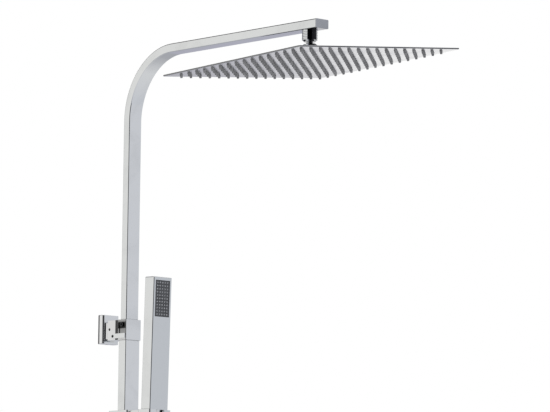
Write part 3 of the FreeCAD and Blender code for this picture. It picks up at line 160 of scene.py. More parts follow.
class ColumnColours(bpy.types.PropertyGroup):
    """Colours of the finishes."""

    chrome: bpy.props.FloatVectorProperty(
        name="Chrome", description="Reflection colour of the plating", subtype="COLOR", size=3,
        default=(0.80, 0.81, 0.82), min=0, max=1)
    steel: bpy.props.FloatVectorProperty(
        name="Steel", description="Reflection colour of the polished sheet", subtype="COLOR", size=3,
        default=(0.76, 0.76, 0.77), min=0, max=1)
    rubber: bpy.props.FloatVectorProperty(
        name="Nozzle rubber", description="Colour of the nozzles", subtype="COLOR", size=3,
        default=(0.24, 0.24, 0.245), min=0, max=1)
    panel: bpy.props.FloatVectorProperty(
        name="Spray panel", description="Colour of the hand shower's panel", subtype="COLOR", size=3,
        default=(0.045, 0.047, 0.052), min=0, max=1)


# ---------------------------------------------------------------- surfaces
def grid_faces(rows, columns, close_rows=False, close_columns=False):
    """Quads of a grid of points; a closed direction joins its last line to its first."""
    row = np.arange(rows if close_rows else rows - 1)
    column = np.arange(columns if close_columns else columns - 1)
    row, column = np.meshgrid(row, column, indexing="ij")
    this_row, next_row = row * columns, (row + 1) % rows * columns
    next_column = (column + 1) % columns
    corners = [this_row + column, this_row + next_column, next_row + next_column, next_row + column]
    return np.stack(corners, -1).reshape(-1, 4)


def around(sides):
    """Directions round a circle: (cos t, sin t) in equal steps."""
    turn = 2 * math.pi * np.arange(sides) / sides
    return np.stack([np.cos(turn), np.sin(turn)], -1)


def at_level(outline, level):
    """A flat outline lifted to a level along Z."""
    return np.concatenate([outline, np.full((len(outline), 1), level)], -1)


def rounded_rectangle(width, depth, radius, steps=5):
    """Points round a rectangle whose corners are quarter circles: corner + radius * (cos t, sin t)."""
    turn = np.linspace(0, math.pi / 2, steps)
    points = []
    for quarter, (side_x, side_y) in enumerate(((1, 1), (-1, 1), (-1, -1), (1, -1))):
        angle = turn + quarter * math.pi / 2
        centre = np.array([side_x * (width / 2 - radius), side_y * (depth / 2 - radius)])
        points.append(centre + radius * np.stack([np.cos(angle), np.sin(angle)], -1))
    return np.concatenate(points)


def square_rings(profile):
    """Rounded squares one after another, from a profile of (side, corner radius, level)."""
    rings = [at_level(rounded_rectangle(side, side, radius), level) for side, radius, level in profile]
    return np.array(rings)


def turned_rings(profile, sides):
    """A surface of revolution about Z: radius * (cos t, sin t) at each (radius, level) of a profile."""
    circle = around(sides)
    return np.array([at_level(radius * circle, level) for radius, level in profile])


def grid_places(x, y):
    """Every pair of an x and a y, as places in the plane Z = 0."""
    x, y = np.meshgrid(x, y, indexing="ij")
    return np.stack([x.ravel(), y.ravel(), 0 * x.ravel()], -1)


def repeated(one, offsets):
    """The same grid of points at many places, with the faces of every copy."""
    rings, sides = one.shape[:2]
    points = one[None] + offsets[:, None, None, :]
    block = grid_faces(rings, sides, close_columns=True)
    starts = np.arange(len(offsets)) * rings * sides
    return points, (block[None] + starts[:, None, None]).reshape(-1, 4)


def into(matrix, points):
    """Points carried by a 4 by 4 matrix."""
    matrix = np.array(matrix)
    flat = points.reshape(-1, 3)
    return (flat @ matrix[:3, :3].T + matrix[:3, 3]).reshape(points.shape)


def head_frame():
    """The head's own frame: tilted, nodded and turned about the ball's centre."""
    tilt, nod, turn = (math.radians(value) for value in HEAD_SET)
    return (Matrix.Translation(BALL) @ Matrix.Rotation(tilt, 4, Vector((0, -1, 0)))
            @ Matrix.Rotation(nod, 4, "X") @ Matrix.Rotation(turn, 4, "Z"))


def handset_frame():
    """The hand shower's own frame: Z runs up from its foot, and it leans about the holder's pivot."""
    return (Matrix.Translation(HOLDER_PIVOT) @ Matrix.Rotation(math.radians(HANDSET_LEAN), 4, "X")
            @ Matrix.Translation(HANDSET_FOOT))


# ---------------------------------------------------------------- pieces
def finish_piece(name, mesh, body, slot, replaces=(), sharp=40.0):
    """Smooth shading with sharp edges kept, then the piece rides on its body and stands for its nodes."""
    mesh.shade_smooth()
    mesh.set_sharp_from_angle(angle=math.radians(sharp))
    piece = bpy.data.objects.new(name, mesh)
    bpy.context.scene.collection.objects.link(piece)
    modifier = piece.modifiers.new("Flat faces stay flat", "WEIGHTED_NORMAL")
    modifier.keep_sharp = True
    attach(piece, body)
    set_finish(piece, slot)
    if replaces:
        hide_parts(*replaces)
    return piece


def add_piece(name, points, faces, body, slot, replaces=(), sharp=40.0):
    """A piece from points and faces."""
    mesh = bpy.data.meshes.new(name)
    mesh.from_pydata(points.reshape(-1, 3).tolist(), [], [list(face) for face in faces])
    return finish_piece(name, mesh, body, slot, replaces, sharp)


def closed_piece(name, points, faces, body, slot, replaces=(), sharp=40.0, bridge=False):
    """A piece whose doubled points are merged first; bridge joins its two open outlines."""
    work = bmesh.new()
    verts = [work.verts.new(point) for point in points.reshape(-1, 3)]
    for face in faces:
        work.faces.new([verts[index] for index in face])
    bmesh.ops.remove_doubles(work, verts=work.verts, dist=1e-6)
    if bridge:
        bmesh.ops.bridge_loops(work, edges=[edge for edge in work.edges if edge.is_boundary])
    bmesh.ops.recalc_face_normals(work, faces=work.faces)
    mesh = bpy.data.meshes.new(name)
    work.to_mesh(mesh)
    work.free()
    return finish_piece(name, mesh, body, slot, replaces, sharp)


class SHOWER_OT_riser(bpy.types.Operator):
    """Draw the bent rectangular tube that makes the riser's upper leg, its bend and the arm"""

    bl_idname = "shower.riser"
    bl_label = "Riser and arm"

    def execute(self, context):
        size = context.scene.column_sizes
        low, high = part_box("upper_tube")
        width, depth = high.x - low.x, 2 * (high.z - size.arm_height)
        wall, corner, radius = size.tube_wall, size.tube_corner, size.bend_radius
        # stations: up the leg, round a quarter circle, along the arm
        bend = np.linspace(0, math.pi / 2, 49)
        centre = np.array([0.0, -size.riser_out - radius, size.arm_height - radius])
        start = np.array([[0.0, -size.riser_out, low.z]])
        arc = centre + radius * np.stack([0 * bend, np.cos(bend), np.sin(bend)], -1)
        end = np.array([[0.0, low.y, size.arm_height]])
        path = np.concatenate([start, arc, end])
        # the direction away from the bend's centre, at each station
        angle = np.concatenate([[0.0], bend, [math.pi / 2]])
        away = np.stack([0 * angle, np.cos(angle), np.sin(angle)], -1)

        def skin(profile):
            """The profile carried along the path: station + x * across + y * away."""
            across = np.array([1.0, 0.0, 0.0])
            x, y = profile[None, :, :1], profile[None, :, 1:]
            return path[:, None, :] + x * across + y * away[:, None, :]

        outer = skin(rounded_rectangle(width, depth, corner, 6))
        inner = skin(rounded_rectangle(width - 2 * wall, depth - 2 * wall, corner / 2, 6))
        stations, count = outer.shape[:2]
        # one closed surface: out along the outer skin and back along the inner one
        points = np.concatenate([outer, inner[::-1]])
        faces = grid_faces(2 * stations, count, close_rows=True, close_columns=True)
        add_piece("riser_arm_tube", points, faces[:, ::-1], "upper_column", "chrome_plate", ["upper_tube"])
        return {"FINISHED"}


class SHOWER_OT_head(bpy.types.Operator):
    """Draw the head's folded top sheet with its rounded rim"""

    bl_idname = "shower.head_top"
    bl_label = "Head top"

    def execute(self, context):
        size = context.scene.column_sizes
        side, under = size.head_side, -size.head_drop
        top = under + size.head_edge
        peak = top + size.head_rise
        sheet, curl = 0.0008, 0.0007  # thickness, and radius of the curl round the rim
        lip, lip_height, lip_corner = 0.0012, 0.0009, 0.0006  # the folded lip and the radius of its corners
        corner, flat = 0.0018, 0.060  # radius of the sheet's corners, and side of the flat middle
        opening = (0.010, 0.0049)  # side and corner radius of the opening under the boss, nearly a circle
        hem = side - 2 * lip
        curve = [(curl * (1 - math.sin(angle)), curl * (1 - math.cos(angle)))
                 for angle in np.linspace(0, math.pi / 2, 5)]
        # down the lip's inside, round the curl, over the slopes to the middle, and back under the sheet
        profile = [(hem, lip_corner, under + lip_height), (hem, lip_corner, under)]
        profile += [(side - 2 * inset, corner, under + rise) for inset, rise in curve]
        profile += [(side - 2 * inset, corner, top - drop) for drop, inset in curve]
        profile += [(flat + (side - flat) * part, corner + 0.003 * (1 - part), peak - (peak - top) * part)
                    for part in (0.97, 0.75, 0.5, 0.25, 0.03)]
        profile += [(0.058, 0.005, peak), (0.030, 0.0149, peak), (*opening, peak)]
        profile += [(*opening, peak - sheet), (flat, 0.005, peak - sheet), (hem, lip_corner, top - sheet)]
        points = square_rings(profile)
        faces = grid_faces(*points.shape[:2], close_rows=True, close_columns=True)
        add_piece("head_top_sheet", into(head_frame(), points), faces, "head", "steel_sheet",
                  ["head_top_shell"], sharp=35)
        return {"FINISHED"}


def nozzle_places(size):
    """Centres of the nozzles, a square grid of equal steps, and the step."""
    reach = size.head_side / 2 - size.nozzle_margin
    line = np.linspace(-reach, reach, size.nozzle_rows)
    return grid_places(line, line), line[1] - line[0]


class SHOWER_OT_spray_plate(bpy.types.Operator):
    """Draw the polished plate under the head, with a round countersunk hole for each nozzle"""

    bl_idname = "shower.spray_plate"
    bl_label = "Spray plate"

    def execute(self, context):
        size = context.scene.column_sizes
        centres, pitch = nozzle_places(size)
        under, thick, inset = -size.head_drop, 0.001, 0.00125  # inset is from the head's edge to the plate's
        hole, sink = 0.0026, 0.0003  # radius of a hole, and width and depth of its countersink
        circle = around(16)
        # the same directions met with the sides of the nozzle's own square cell, corners included
        cell = circle / np.abs(circle).max(-1, keepdims=True) * pitch / 2
        rings = ((cell, 0.0), (circle * (hole + sink), 0.0), (circle * hole, sink), (circle * hole, thick),
                 (cell, thick))
        points, faces = repeated(np.array([at_level(ring, under + rise) for ring, rise in rings]), centres)
        # the outermost cells reach out to the plate's edge
        half, outer = size.nozzle_rows * pitch / 2, size.head_side / 2 - inset
        flat = points[..., :2]
        flat[np.abs(np.abs(flat) - half) < 1e-6] *= outer / half
        closed_piece("head_spray_sheet", into(head_frame(), points), faces, "head", "steel_sheet",
                     ["head_spray_plate"], sharp=30, bridge=True)
        return {"FINISHED"}


class SHOWER_OT_nozzles(bpy.types.Operator):
    """Draw the rubber nozzles: a tapered tip with a rounded shoulder and a small mouth, at each hole"""

    bl_idname = "shower.nozzles"
    bl_label = "Nozzles"

    def execute(self, context):
        size = context.scene.column_sizes
        centres, _ = nozzle_places(size)
        under = -size.head_drop
        tip = under - size.nozzle_reach
        # from the root inside the hole, down to the tip and up into its mouth
        profile = ((0.0, under + 0.0012), (0.0023, under + 0.0012), (0.0023, under),
                   (0.0021, under - 0.0008), (0.0018, tip + 0.0006), (0.0016, tip + 0.0002), (0.0012, tip),
                   (0.0008, tip), (0.0006, tip + 0.0010), (0.0, tip + 0.0010))
        points, faces = repeated(turned_rings(profile, 12), centres)
        closed_piece("head_nozzles", into(head_frame(), points), faces, "head", "rubber_grey",
                     ["head_nozzle_mat"], sharp=50)
        return {"FINISHED"}


def thread_skin(top, sides):
    """A thread up to its top: the radius loses part of the thread's depth, by a triangle wave of
    height / pitch - turn, which fades out at both ends."""
    levels = np.arange(THREAD_END, top + 1e-9, THREAD_PITCH / 6)
    turn = np.arange(sides) / sides
    wave = np.abs((levels[:, None] / THREAD_PITCH - turn) % 1 - 0.5) * 2
    fade = np.clip(np.minimum(levels - THREAD_END, top - levels) / THREAD_RUN_OUT, 0, 1)[:, None]
    radius = THREAD_RADIUS - THREAD_DEPTH * (0.25 + wave * 0.75 * fade)
    circle = around(sides)
    return np.stack([radius * circle[:, 0], radius * circle[:, 1], levels[:, None] + 0 * radius], -1)


def threaded_piece(name, replaced, body, own_frame, bore, above):
    """A turned piece with a bore and a thread at its lower end; above is its outside from the thread's top
    to its own, as a profile of (radius, level)."""
    sides, chamfer = 48, 0.0006
    thread_top, piece_top = above[0][1], above[-1][1]
    inside = turned_rings(((bore, piece_top), (bore, THREAD_END), (bore + chamfer, THREAD_END)), sides)
    outside = turned_rings(((THREAD_RADIUS, thread_top), *above), sides)
    points = np.concatenate([inside, thread_skin(thread_top, sides), outside])
    faces = grid_faces(len(points), sides, close_rows=True, close_columns=True)
    closed_piece(name, into(own_frame, points), faces, body, "chrome_plate", [replaced], sharp=45)


class SHOWER_OT_threads(bpy.types.Operator):
    """Draw the two half-inch hose threads, each with its bore and what stands above the thread"""

    bl_idname = "shower.threads"
    bl_label = "Hose threads"

    def execute(self, context):
        flange, neck = 0.0132, 0.009  # radii of what stands above the outlet's thread and the inlet's
        threaded_piece("hose_outlet_thread", "hose_outlet", "column", Matrix.Translation(HOSE_OUTLET), 0.006,
                       ((flange, -0.003), (flange, 0.0), (THREAD_RADIUS, 0.0), (THREAD_RADIUS, 0.0115)))
        threaded_piece("handset_inlet_thread", "handset_inlet", "handset", handset_frame(), 0.005,
                       ((neck, 0.0), (neck, 0.014)))
        return {"FINISHED"}


class SHOWER_OT_spray_panel(bpy.types.Operator):
    """Draw the hand shower's spray panel: a plate with rounded edges and a dome for each jet"""

    bl_idname = "shower.spray_panel"
    bl_label = "Spray panel"

    def execute(self, context):
        # the panel's own frame: X across, Y up the hand shower, Z out of its face
        centre = Vector((0, -0.0104, 0.1635))
        face = handset_frame() @ Matrix.Translation(centre) @ Matrix.Rotation(math.pi / 2, 4, "X")
        width, height, corner = 0.027, 0.0536, 0.0008
        # the plate, from its back round its edge to its face: (inset, level)
        profile = ((0.0012, -0.0026), (0, -0.0026), (0, -0.0008), (0.00015, -0.0005), (0.0005, -0.0004),
                   (0.0012, -0.0004))
        points = np.array([
            at_level(rounded_rectangle(width - 2 * inset, height - 2 * inset, corner, 4), level)
            for inset, level in profile])
        rings, count = points.shape[:2]
        faces = [list(quad) for quad in grid_faces(rings, count, close_columns=True)]
        faces += [list(range(count)), list(range((rings - 1) * count, rings * count))]
        closed_piece("handset_panel_plate", into(face, points), faces, "handset", "plastic_grey",
                     ["handset_spray_panel"])
        columns, rows, pitch = 5, 11, 0.0047
        x = (np.arange(columns) - (columns - 1) / 2) * pitch
        y = (np.arange(rows) - (rows - 1) / 2) * pitch
        # a jet, from its foot in the panel over its dome into its mouth: (radius, level)
        profile = ((0.0, -0.0007), (0.0012, -0.0007), (0.0012, -0.0003), (0.0010, 0.0000), (0.0007, 0.0003),
                   (0.0005, 0.0003), (0.0004, -0.0001), (0.0, -0.0001))
        offsets = grid_places(x, y)
        points, faces = repeated(turned_rings(profile, 12), offsets)
        closed_piece("handset_panel_jets", into(face, points), faces, "handset", "rubber_grey", sharp=50)
        return {"FINISHED"}


# ---------------------------------------------------------------- nodes
def node(tree, kind, links=None, **settings):
    """Add a node, set its properties and its inputs; an input may be a value or another node's socket."""
    made = tree.nodes.new(kind)
    for key, value in settings.items():
        setattr(made, key, value)
    for key, value in (links or {}).items():
        if isinstance(value, bpy.types.NodeSocket):
            tree.links.new(value, made.inputs[key])
        else:
            made.inputs[key].default_value = value
    return made


def math_result(tree, operation, *values):
    """A Math node's result."""
    return node(tree, "ShaderNodeMath", dict(enumerate(values)), operation=operation).outputs[0]


def ramp(tree, value, low, high):
    """A value eased from 0 at one limit to 1 at the other."""
    return node(tree, "ShaderNodeMapRange", {"Value": value, "From Min": low, "From Max": high},
                interpolation_type="SMOOTHSTEP").outputs["Result"]


def dot_product(tree, first, second):
    """The dot product of two directions, which is the cosine between them."""
    made = node(tree, "ShaderNodeVectorMath", {0: first, 1: second}, operation="DOT_PRODUCT")
    return made.outputs["Value"]


def blended(tree, factor, first, second):
    """One colour turning into another by a mask; each is a socket or three numbers."""
    pair = [value if isinstance(value, bpy.types.NodeSocket) else (*value, 1) for value in (first, second)]
    links = {"Factor": factor, 6: pair[0], 7: pair[1]}
    return node(tree, "ShaderNodeMix", links, data_type="RGBA").outputs[2]


def colour_ramp(tree, value, near, far, stops):
    """A value from near to far turned into colours; each stop is (part of the way, colour)."""
    level = node(tree, "ShaderNodeMapRange", {"Value": value, "From Min": near, "From Max": far})
    made = node(tree, "ShaderNodeValToRGB", {"Fac": level.outputs["Result"]})
    elements = made.color_ramp.elements
    while len(elements) < len(stops):
        elements.new(0.5)
    for element, (position, colour) in zip(elements, stops):
        element.position, element.color = position, (*colour, 1)
    return made.outputs["Color"]


def new_group(name, inputs, outputs):
    """An empty node group with its sockets; each input is (name, type, default)."""
    group = bpy.data.node_groups.new(name, "ShaderNodeTree")
    for label, kind, value in inputs:
        socket = group.interface.new_socket(name=label, in_out="INPUT", socket_type=kind)
        if value is not None:
            socket.default_value = value
    for label, kind in outputs:
        group.interface.new_socket(name=label, in_out="OUTPUT", socket_type=kind)
    return group, group.nodes.new("NodeGroupInput").outputs, group.nodes.new("NodeGroupOutput").inputs


def handling_group():
    """Marks of use on a polished surface: fine hairlines, dried water spots and soft smudges, as masks."""
    group, given, result = new_group(
        "Handling marks", [("Vector", "NodeSocketVector", None)],
        [("Hairlines", "NodeSocketFloat"), ("Spots", "NodeSocketFloat"), ("Smudges", "NodeSocketFloat")])
    place = given["Vector"]
    # hairlines run along each axis in turn: noise drawn out along it, with its pattern shifted
    hairlines = None
    for stretch, shift in (((900, 900, 14), 0.0), ((14, 900, 900), 3.1), ((900, 14, 900), 7.7)):
        moved = node(group, "ShaderNodeMapping", {"Vector": place, "Scale": stretch,
                                                  "Location": (shift, shift, shift)})
        noise = node(group, "ShaderNodeTexNoise", {"Vector": moved.outputs[0], "Scale": 1.0, "Detail": 2.0})
        line = ramp(group, noise.outputs["Fac"], 0.62, 0.80)
        hairlines = line if hairlines is None else math_result(group, "MAXIMUM", hairlines, line)
    group.links.new(hairlines, result["Hairlines"])
    # spots are the middles of cells, in a few patches alone
    cells = node(group, "ShaderNodeTexVoronoi", {"Vector": place, "Scale": 160.0, "Randomness": 1.0})
    patches = node(group, "ShaderNodeTexNoise", {"Vector": place, "Scale": 16.0, "Detail": 3.0})
    drops = ramp(group, cells.outputs["Distance"], 0.28, 0.16)
    few = ramp(group, patches.outputs["Fac"], 0.64, 0.76)
    group.links.new(math_result(group, "MULTIPLY", drops, few), result["Spots"])
    cloud = node(group, "ShaderNodeTexNoise", {"Vector": place, "Scale": 22.0, "Detail": 4.0,
                                               "Roughness": 0.6, "Distortion": 0.6})
    group.links.new(ramp(group, cloud.outputs["Fac"], 0.42, 0.72), result["Smudges"])
    return group


def corner_shade_group():
    """Painted shade in narrow corners, where deposits also gather: a mask that rises where nearby surfaces
    close in.
    """
    # painted shade, with deposits: ambient occlusion over a short distance marks the narrow corners, which
    # metal() darkens and roughens
    group, given, result = new_group("Corner residue", [("Distance", "NodeSocketFloat", 0.002)],
                                     [("Mask", "NodeSocketFloat")])
    shelter = node(group, "ShaderNodeAmbientOcclusion", {"Distance": given["Distance"]}, samples=6)
    group.links.new(ramp(group, shelter.outputs["AO"], 0.88, 0.48), result["Mask"])
    return group


def facing_group():
    """How far a surface turns toward a direction: their cosine, eased from one limit to the other."""
    group, given, result = new_group(
        "Facing mask", [("Normal", "NodeSocketVector", None), ("Toward", "NodeSocketVector", None),
                        ("From", "NodeSocketFloat", 0.7), ("To", "NodeSocketFloat", 0.9)],
        [("Mask", "NodeSocketFloat")])
    turn = dot_product(group, given["Normal"], given["Toward"])
    group.links.new(ramp(group, turn, given["From"], given["To"]), result["Mask"])
    return group


def grain_group():
    """Moulded grain: two sizes of fine noise added, as a height and as a mask."""
    group, given, result = new_group(
        "Moulded grain", [("Vector", "NodeSocketVector", None), ("Scale", "NodeSocketFloat", 1500.0)],
        [("Height", "NodeSocketFloat"), ("Mask", "NodeSocketFloat")])
    small, large = (
        node(group, "ShaderNodeTexNoise", {"Vector": given["Vector"], "Scale": scale, "Detail": 3.0})
        for scale in (given["Scale"], 60.0))
    both = math_result(group, "ADD", small.outputs["Fac"], large.outputs["Fac"])
    group.links.new(both, result["Height"])
    group.links.new(ramp(group, large.outputs["Fac"], 0.40, 0.62), result["Mask"])
    return group


# ---------------------------------------------------------------- finishes
def start_material(name):
    """A new material, its node tree, its shader and its object coordinates."""
    material = bpy.data.materials.new(name)
    material.use_nodes = True
    tree = material.node_tree
    place = tree.nodes.new("ShaderNodeTexCoord").outputs["Object"]
    return material, tree, tree.nodes["Principled BSDF"], place


def metal(name, colour, roughness, marks, corners, wave=0.15, brushed=None, depth=0.05):
    """Plated or polished metal: smudges, spots, hairlines and deposits in corners dull it, painted shade
    darkens those corners, and hairlines and a slow wave bend its normal. Wave is how strong the slow wave is,
    brushed is the noise scale of brushed or turned lines, and depth is how strong these lines and the
    hairlines are."""
    material, tree, shader, place = start_material(name)
    shader.inputs["Metallic"].default_value = 1.0
    mark = node(tree, "ShaderNodeGroup", {"Vector": place}, node_tree=marks).outputs
    # corners is the corner shade group: its mask paints shade into narrow corners and dulls them as deposits
    # would
    shade_and_residue = node(tree, "ShaderNodeGroup", node_tree=corners).outputs["Mask"]
    smudged = blended(tree, mark["Smudges"], colour, [part * 0.93 for part in colour])
    # painted shade: the colour in narrow corners falls to 0.16 of itself
    plating = blended(tree, shade_and_residue, smudged, [part * 0.16 for part in colour])
    tree.links.new(plating, shader.inputs["Base Color"])
    rough = roughness
    for mask, rise in ((mark["Smudges"], 0.05), (shade_and_residue, 0.18), (mark["Spots"], 0.08),
                       (mark["Hairlines"], 0.05)):
        rough = math_result(tree, "MULTIPLY_ADD", mask, rise, rough)
    tree.links.new(rough, shader.inputs["Roughness"])
    slow = node(tree, "ShaderNodeTexNoise", {"Vector": place, "Scale": 18.0, "Detail": 1.0})
    swell = node(tree, "ShaderNodeBump", {"Height": slow.outputs["Fac"], "Strength": wave,
                                          "Distance": 0.0006})
    height = mark["Hairlines"]
    if brushed is not None:
        moved = node(tree, "ShaderNodeMapping", {"Vector": place, "Scale": brushed})
        lines = node(tree, "ShaderNodeTexNoise", {"Vector": moved.outputs[0], "Scale": 1.0, "Detail": 3.0})
        height = math_result(tree, "ADD", height, lines.outputs["Fac"])
    scratch = node(tree, "ShaderNodeBump", {"Height": height, "Strength": depth, "Distance": 0.00005,
                                            "Normal": swell.outputs[0]})
    tree.links.new(scratch.outputs[0], shader.inputs["Normal"])
    return material


def painted_reflection(material, facing, turns, reflected_tone_of):
    """A painted reflection: the plating takes another tone on what faces one way, where it would mirror a
    darker or paler thing.
    Each turn is (direction, cosine where the tone starts, cosine where it is whole), and reflected_tone_of
    makes the tone from the node tree and the object's coordinates."""
    tree = material.node_tree
    colour = tree.nodes["Principled BSDF"].inputs["Base Color"]
    place = tree.nodes.new("ShaderNodeTexCoord").outputs
    mask = None
    for toward, start, whole in turns:
        links = {"Normal": place["Normal"], "Toward": toward, "From": start, "To": whole}
        part = node(tree, "ShaderNodeGroup", links, node_tree=facing).outputs["Mask"]
        mask = part if mask is None else math_result(tree, "MULTIPLY", mask, part)
    tone = reflected_tone_of(tree, place["Object"])
    # the painted reflection: the facing mask turns the plating's colour into the tone
    tree.links.new(blended(tree, mask, colour.links[0].from_socket, tone), colour)
    return material


def painted_even_reflection(material, facing, turns, tone):
    """One even painted reflection tone on what faces one way."""
    return painted_reflection(material, facing, turns, lambda tree, place: tone)


def painted_banded_reflection(material, facing, axis, span, stops):
    """Painted reflection tones in bands along one axis on what faces left, where it would mirror the pieces
    beside it.
    """

    def bands(tree, place):
        along = node(tree, "ShaderNodeSeparateXYZ", {"Vector": place}).outputs[axis]
        return colour_ramp(tree, along, *span, [(part, (tone, tone, tone * 1.02)) for part, tone in stops])

    return painted_reflection(material, facing, ((LEFT, 0.75, 0.97),), bands)


def moulded(name, colour, roughness, grain, scale, depth, light=1.35):
    """Moulded plastic or rubber: a fine grain in its height, of a scale and a depth, and duller patches whose
    colour is multiplied by light."""
    material, tree, shader, place = start_material(name)
    look = node(tree, "ShaderNodeGroup", {"Vector": place, "Scale": scale}, node_tree=grain).outputs
    patches = blended(tree, look["Mask"], colour, [min(1.0, part * light) for part in colour])
    tree.links.new(patches, shader.inputs["Base Color"])
    rough = math_result(tree, "MULTIPLY_ADD", look["Mask"], 0.12, roughness)
    tree.links.new(rough, shader.inputs["Roughness"])
    bump = node(tree, "ShaderNodeBump", {"Height": look["Height"], "Strength": depth, "Distance": 0.0001})
    tree.links.new(bump.outputs[0], shader.inputs["Normal"])
    return material


# painted reflections of the pieces beside them, on the left sides of three pieces: node, axis, and stops of
# (part of the way, tone)
PAINTED_SIDE_REFLECTIONS = (
    ("tube_collar", "Z", ((0.0, 0.70), (0.22, 0.60), (0.26, 0.36), (0.54, 0.30), (0.58, 0.02),
                          (0.84, 0.03), (0.90, 0.28), (1.0, 0.50))),
    ("bracket_block", "Y", ((0.0, 0.22), (0.03, 0.05), (0.15, 0.08), (0.18, 0.80), (1.0, 0.82))),
    ("bracket_cover", "Y", ((0.0, 0.10), (0.12, 0.14), (0.20, 0.86), (0.58, 0.86), (0.66, 0.12),
                            (0.90, 0.08), (1.0, 0.30))),
)


class SHOWER_OT_finishes(bpy.types.Operator):
    """Make every finish and put it on the CAD pieces and on the pieces drawn here"""

    bl_idname = "shower.finishes"
    bl_label = "Finishes"

    def execute(self, context):
        colours = context.scene.column_colours
        chrome, steel = tuple(colours.chrome), tuple(colours.steel)
        # the handling marks, and the painted shade in corners with its deposits
        marks_and_corner_shade = (handling_group(), corner_shade_group())
        grain, facing = grain_group(), facing_group()
        drawn = bpy.data.objects
        sheet_lines = (700, 12, 700)

        def plating(name):
            return metal(name, chrome, 0.06, *marks_and_corner_shade)

        finishes = {
            "chrome_plate": plating("Chrome plating"),
            "steel_sheet": metal(
                "Polished steel sheet", steel, 0.12, *marks_and_corner_shade, wave=0.10, brushed=sheet_lines),
            "brass_raw": metal(
                "Turned brass", (0.72, 0.56, 0.28), 0.28, *marks_and_corner_shade, wave=0.1, brushed=(20, 20, 2200)),
            "rubber_grey": moulded("Nozzle rubber", tuple(colours.rubber), 0.55, grain, 2200.0, 0.25),
            "rubber_black": moulded("Seal rubber", (0.03, 0.03, 0.03), 0.6, grain, 1800.0, 0.25),
            "plastic_grey": moulded("Panel plastic", tuple(colours.panel), 0.42, grain, 1600.0, 0.2),
            "plastic_white": moulded(
                "White plastic", (0.80, 0.80, 0.77), 0.4, grain, 1400.0, 0.15, light=0.93),
        }
        slots = {row["node"]: row["material_slot"] for row in frame["record"]["subparts"]}
        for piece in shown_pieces():
            slot = piece.get("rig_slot") or slots[piece.name]
            piece.data.materials.clear()
            piece.data.materials.append(finishes[slot])

        black = metal("Blackened screws", (0.05, 0.05, 0.055), 0.35, *marks_and_corner_shade)
        # painted reflection: the ball stem, the head's collar nut and its boss turn nearly black where they
        # face front
        joint = painted_even_reflection(plating("Ball joint plating"), facing, (((-0.03, -1.0, 0.0), 0.40, 0.55),),
                      (0.03, 0.03, 0.033))
        # painted reflections on the front and the left of the folded sheet's rim, not its sloping top: nearly
        # black on the front, dark grey on the left
        rim = metal("Folded steel sheet", steel, 0.12, *marks_and_corner_shade, wave=0.07, brushed=sheet_lines, depth=0.02)
        painted_even_reflection(rim, facing, ((FRONT, 0.80, 0.93), (DOWN, -0.25, -0.10)), (0.07, 0.07, 0.075))
        painted_even_reflection(rim, facing, ((LEFT, 0.80, 0.93), (DOWN, -0.45, -0.30)), (0.24, 0.24, 0.245))
        # the pieces with a finish of their own, most of them with a painted reflection
        own = {
            # painted reflection: a thin dark line along the tube's outer left corner, where it faces left and
            # back or up
            drawn["riser_arm_tube"]: painted_even_reflection(
                plating("Riser plating"), facing, (((0.0, 0.707, 0.707), 0.12, 0.28), (LEFT, 0.35, 0.55)),
                (0.10, 0.10, 0.105)),
            drawn["head_top_sheet"]: rim,
            drawn["handset_panel_jets"]: moulded(
                "Pale silicone", (0.36, 0.37, 0.39), 0.5, grain, 2200.0, 0.2, light=0.85),
            NODES["arm_end_cap"]: metal(
                "Satin end plate", (0.42, 0.43, 0.46), 0.22, *marks_and_corner_shade, wave=0.1, brushed=(16, 900, 900)),
            # painted reflection: a nearly black band on the swivel nut where it faces front and a little left
            NODES["swivel_nut"]: painted_even_reflection(
                plating("Swivel nut plating"), facing, (((-0.37, -0.929, 0.0), 0.74, 0.81),),
                (0.025, 0.025, 0.028)),
            # painted reflection: the front of the hand shower's body a little darker than the rest of its
            # plating
            NODES["handset_body"]: painted_even_reflection(
                plating("Hand shower plating"), facing, ((FRONT, 0.80, 0.95),), (0.70, 0.72, 0.735)),
        }
        own.update({NODES[name]: black for name in ("grub_screws", "clamp_bar_screw", "collar_lock_screw")})
        own.update({NODES[name]: joint for name in ("ball_stem", "head_collar_nut", "head_boss")})
        # painted reflections in bands on the left sides of the tube collar, the bracket block and the bracket
        # cover
        for name, axis, stops in PAINTED_SIDE_REFLECTIONS:
            span = [getattr(corner, axis.lower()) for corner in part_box(name)]
            label = name.replace("_", " ").capitalize()
            own[NODES[name]] = painted_banded_reflection(plating(label), facing, axis, span, stops)
        for piece, finish in own.items():
            piece.data.materials[0] = finish
        return {"FINISHED"}


# ---------------------------------------------------------------- stage
def camera_frame():
    """The photograph's camera: turned by azimuth, elevation and roll, with its own place."""
    azimuth, elevation, roll = (math.radians(value) for value in CAMERA_TURN)
    back = Vector((math.sin(azimuth) * math.cos(elevation), -math.cos(azimuth) * math.cos(elevation),
                   math.sin(elevation)))
    right = Vector((math.cos(azimuth), math.sin(azimuth), 0))
    up = back.cross(right)
    side = right * math.cos(roll) + up * math.sin(roll)
    head = -right * math.sin(roll) + up * math.cos(roll)
    matrix = Matrix((side, head, back)).transposed().to_4x4()
    matrix.translation = CAMERA_PLACE
    return matrix


